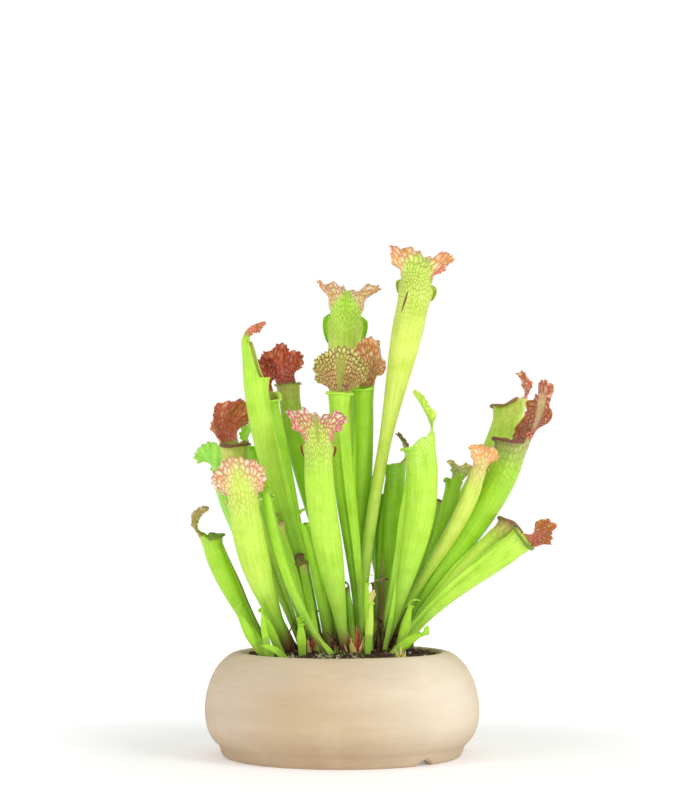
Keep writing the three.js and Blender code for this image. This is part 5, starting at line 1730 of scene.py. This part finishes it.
def stub(name, tall, wide, bend):
    """A dry sheath that stands up from the soil, bends and narrows to its broken top."""
    rows = []
    for t in (0, 0.35, 0.7, 1.0):
        half = wide / 2 * (1 - 0.75 * t**1.5)
        side = bend * t * t
        corners = ((-1, -0.35), (1, -0.35), (0.7, 0.5), (-0.7, 0.5))
        corners = [(half * x + side, half * y, tall * t - 2) for x, y in corners]
        rows.append([tuple(c * MM for c in corner) for corner in corners])
    points = [p for row in rows for p in row]
    faces = [[0, 1, 2, 3], [12, 13, 14, 15]]
    for row in range(3):
        for i in range(4):
            j = (i + 1) % 4
            faces.append([4 * row + i, 4 * row + j, 4 * row + 4 + j, 4 * row + 4 + i])
    return shape(name, points, faces)


def shoot(name, tall, leaves):
    """A moss shoot: pointed leaves, each a thin closed wedge, spread in a spiral."""
    points = []
    faces = []
    for i in range(leaves):
        turn = GOLDEN_TURN * i
        out, across = out_and_across(turn)
        root = tall * (0.15 + 0.75 * i / leaves) * UP
        length = tall * (0.6 - 0.25 * i / leaves)
        tip = root + length * (0.8 * out + 0.6 * UP)
        middle = root + length * (0.45 * out + 0.12 * UP)
        back = middle + 0.1 * length * UP
        half = 0.16 * length * across
        first = len(points)
        points += [root, middle + half, tip, middle - half, back]
        faces += [[first, first + 1, first + 2, first + 3]]
        for a, b in ((0, 1), (1, 2), (2, 3), (3, 0)):
            faces.append([first + b, first + a, first + 4])
    return shape(name, [p * MM for p in points], faces)


def family(name, members):
    """A collection of shapes, one of which is picked at each point."""
    group = bpy.data.collections.new(name)
    for member in members:
        group.objects.link(member)
    return group


crumbs = family("crumb_shapes", [lump(f"crumb_{i}", (3.2, 2.6, 2.2), 1.1) for i in range(4)])
chips = family("chip_shapes", [lump(f"chip_{i}", (9, 4.6, 1.7), 0.9) for i in range(4)])
grains = family("grain_shapes", [lump(f"grain_{i}", (2.4, 2.0, 1.7), 0.6) for i in range(3)])
scraps = family("scrap_shapes", [lump(f"scrap_{i}", (8, 1.1, 0.8), 0.9) for i in range(3)])
stubs = family("stub_shapes", [stub(f"stub_{i}", 20 + 5 * i, 3.6, 3 * i - 4) for i in range(4)])
shoots = family("shoot_shapes", [shoot(f"shoot_{i}", 5.0 + i, 7) for i in range(3)])
print("six families of shapes are ready")

# %% [markdown]
# These natural stuffs are all dull and mottled: dried peat, pine bark, perlite, which is glass
# blown up by heat to a white foam, and dead and living bog moss. Each takes two tones, and a
# noise about 3 mm across mixes them, so that one chip differs from the next.

# %% Dull natural stuffs


def grainy(name, dark, light, roughness):
    """A dull natural stuff, mottled between two tones from piece to piece."""
    material, tree = new_material(name)
    at = add(tree, "ShaderNodeTexCoord", out="Object")
    mottle = add(tree, NOISE, {"Vector": at, "Scale": 330.0, "Detail": 3.0})
    mottle = add(tree, RANGE, {0: mottle, 1: 0.35, 2: 0.65})
    tone = add(tree, MIX, {0: mottle, 6: linear(dark), 7: linear(light)}, **COLOURS)
    shader = add(tree, PRINCIPLED, {"Base Color": tone, "Roughness": roughness})
    add(tree, "ShaderNodeOutputMaterial", {"Surface": shader})
    return material


DRY_PEAT = grainy("dry_peat", "#1A0F0A", "#5A3E2B", 0.9)
PINE_BARK = grainy("pine_bark", "#3A2318", "#8A5E40", 0.85)
PERLITE = grainy("perlite", "#C9C2B4", "#EFEBE0", 0.95)
DRY_MOSS = grainy("dry_bog_moss", "#8E8A5C", "#DAD6B4", 0.9)
GREEN_MOSS = grainy("bog_moss", "#5E7A22", "#A9C24C", 0.7)
DRY_SHEATH = grainy("dry_leaf_sheath", "#3C2416", "#8E6A42", 0.8)
print("six stuffs are mixed")

# %% [markdown]
# The surface that carries them is the soil's own top. Its attributes say how much of each thing
# lies where: crumbs and chips everywhere, stubs between the stalks of a crown, and moss in a few
# patches, most of all at the front left.

# %% Where things lie
crown_feet = np.array([leaf["route"][0][:2] for leaf in PITCHERS])
LITTER_RADIUS = 75
LITTER_RINGS = 40
LITTER_SIDES = 120
MOSS_PATCHES = [(-12, -60, 17), (-35, -57, 9), (12, -62, 10), (55, 20, 16), (-40, 45, 18)]


def soil_top():
    """The soil's surface, carried out to its edge, with the shares of what lies on it."""
    radii = np.linspace(2, LITTER_RADIUS, LITTER_RINGS)
    angles = np.linspace(0, 2 * math.pi, LITTER_SIDES, endpoint=False)
    points = [(r * math.cos(a), r * math.sin(a)) for r in radii for a in angles]
    faces = []
    for first in range(0, len(points) - LITTER_SIDES, LITTER_SIDES):
        for i in range(LITTER_SIDES):
            j = (i + 1) % LITTER_SIDES
            after = first + LITTER_SIDES
            faces.append([after + i, after + j, first + j, first + i])
    places = [BOWL_AXIS + Vector((x, y, soil_height(x, y))) * MM for x, y in points]
    mesh = bpy.data.meshes.new("soil_top")
    mesh.from_pydata([tuple(place) for place in places], [], faces)
    near = []
    moss = []
    for x, y in points:
        gaps = np.hypot(crown_feet[:, 0] - x, crown_feet[:, 1] - y)
        near.append(float(ease(1 - (gaps.min() - 4) / 9)))
        moss.append(max(float(ease(1 - math.hypot(x - a, y - b) / r)) for a, b, r in MOSS_PATCHES))
    for label, shares in (("near_stalks", near), ("mossy", moss), ("open", [1.0] * len(points))):
        mesh.attributes.new(label, "FLOAT", "POINT").data.foreach_set("value", shares)
    return mesh


# %% [markdown]
# For each kind the list gives its attribute, the number of pieces on a square metre, the least
# and the largest size, and how far they tilt either way, in radians.

# %% Strewing them over the soil
STREWN = [
    ("peat_crumbs", crumbs, "open", 62000, (0.5, 1.3), 3.0, DRY_PEAT),
    ("bark_chips", chips, "open", 15000, (0.45, 1.1), 0.5, PINE_BARK),
    ("perlite_grains", grains, "open", 5000, (0.5, 1.0), 3.0, PERLITE),
    ("bleached_moss", scraps, "mossy", 130000, (0.5, 1.2), 0.9, DRY_MOSS),
    ("moss_shoots", shoots, "mossy", 26000, (0.6, 1.2), 0.6, GREEN_MOSS),
    ("old_leaf_stubs", stubs, "near_stalks", 26000, (0.45, 1.15), 0.5, DRY_SHEATH),
]
top = soil_top()
for seed, (name, shapes, where, density, sizes, tilt, material) in enumerate(STREWN):
    values = {"Shapes": shapes, "Where": where, "Density": float(density), "Smallest": sizes[0]}
    values.update({"Largest": sizes[1], "Tilt": tilt, "Seed": 5 + seed, "Material": material})
    piece = run_tree(name, top.copy(), STREWING, values)
    keep(piece)
    print(name, "has", len(piece.data.polygons), "faces")

# %% [markdown]
# The inside of a lid bears stiff hairs that point down into the mouth, so an insect can walk only
# one way. They are thin three-sided spikes, which a Geometry Nodes tree plants on the inner faces
# of all the larger lids at once, closest together near the mouth. Real ones are thinner than a
# pixel, so these are as coarse as they need to be to show.

# %% The inside of the lids
HAIR_LENGTH = 2.6
HAIR_ROOT = 0.16
HAIR_DROOP = (0.0, 0.0, -0.9)
HAIR_SIZES = (0.5, 1.2)
HAIRS_TO_A_METRE = 150000.0


def inner_faces(pieces):
    """One mesh of the mouth sides of the lids, and how densely hairs stand on each point."""
    points = []
    faces = []
    density = []
    for piece in pieces:
        mesh = piece.data
        marks = {}
        for label in ("out_on_lid", "inside_trumpet"):
            marks[label] = np.empty(len(mesh.vertices), np.float32)
            mesh.attributes[label].data.foreach_get("value", marks[label])
        wanted = (marks["inside_trumpet"] > 0.5) & (marks["out_on_lid"] > 0.06)
        number = np.cumsum(wanted) - 1 + len(points)
        for face in mesh.polygons:
            if all(wanted[v] for v in face.vertices):
                faces.append([int(number[v]) for v in face.vertices])
        points += [mesh.vertices[int(v)].co for v in np.flatnonzero(wanted)]
        density += [float(1 - 0.75 * q) for q in marks["out_on_lid"][wanted]]
    carrier = bpy.data.meshes.new("lid_insides")
    carrier.from_pydata(points, [], faces)
    carrier.attributes.new("near_mouth", "FLOAT", "POINT").data.foreach_set("value", density)
    return carrier


# %% [markdown]
# A hair grows out along the face's own direction and droops from there. Each has a size of its
# own, and all of them together become one mesh.

# %% Planting the hairs


def hair_tree():
    tree, given = start_tree(
        "planted_hairs",
        [
            ("Hair", "Object", None), ("Where", "String", "near_mouth"),
            ("Density", "Float", 1000.0), ("Droop", "Vector", HAIR_DROOP),
            ("Seed", "Int", 1), ("Material", "Material", None),
        ],
    )
    planted = scattered(tree, given)
    down = {0: planted["Normal"], 1: given["Droop"]}
    down = add(tree, VECTORS, down, operation="ADD")
    turned = add(tree, "FunctionNodeAlignRotationToVector", {"Vector": down}, axis="Z")
    hair = add(tree, "GeometryNodeObjectInfo", {"Object": given["Hair"]}, "Geometry")
    sized = {2: HAIR_SIZES[0], 3: HAIR_SIZES[1], "Seed": given["Seed"]}
    sized = add(tree, "FunctionNodeRandomValue", sized, out=1, data_type="FLOAT")
    hairs = {"Points": planted["Points"], "Instance": hair, "Rotation": turned, "Scale": sized}
    hairs = add(tree, "GeometryNodeInstanceOnPoints", hairs)
    return end_tree(tree, hairs, given["Material"])


root = [(HAIR_ROOT * math.cos(a), HAIR_ROOT * math.sin(a), -0.3) for a in (0, 2.1, 4.2)]
spike = [tuple(c * MM for c in p) for p in [*root, (0.5, 0, HAIR_LENGTH)]]
hair = shape("lid_hair", spike, [[0, 1, 2], [0, 3, 1], [1, 3, 2], [2, 3, 0]])
values = {"Hair": hair, "Density": HAIRS_TO_A_METRE, "Seed": 3}
values["Material"] = grainy("pale_leaf_hair", "#D8DCA8", "#F6F2D8", 0.5)
bristles = run_tree("lid_bristles", inner_faces(lidded), hair_tree(), values)
keep(bristles)
print(len(lidded), "lids carry", len(bristles.data.polygons) // 4, "hairs")
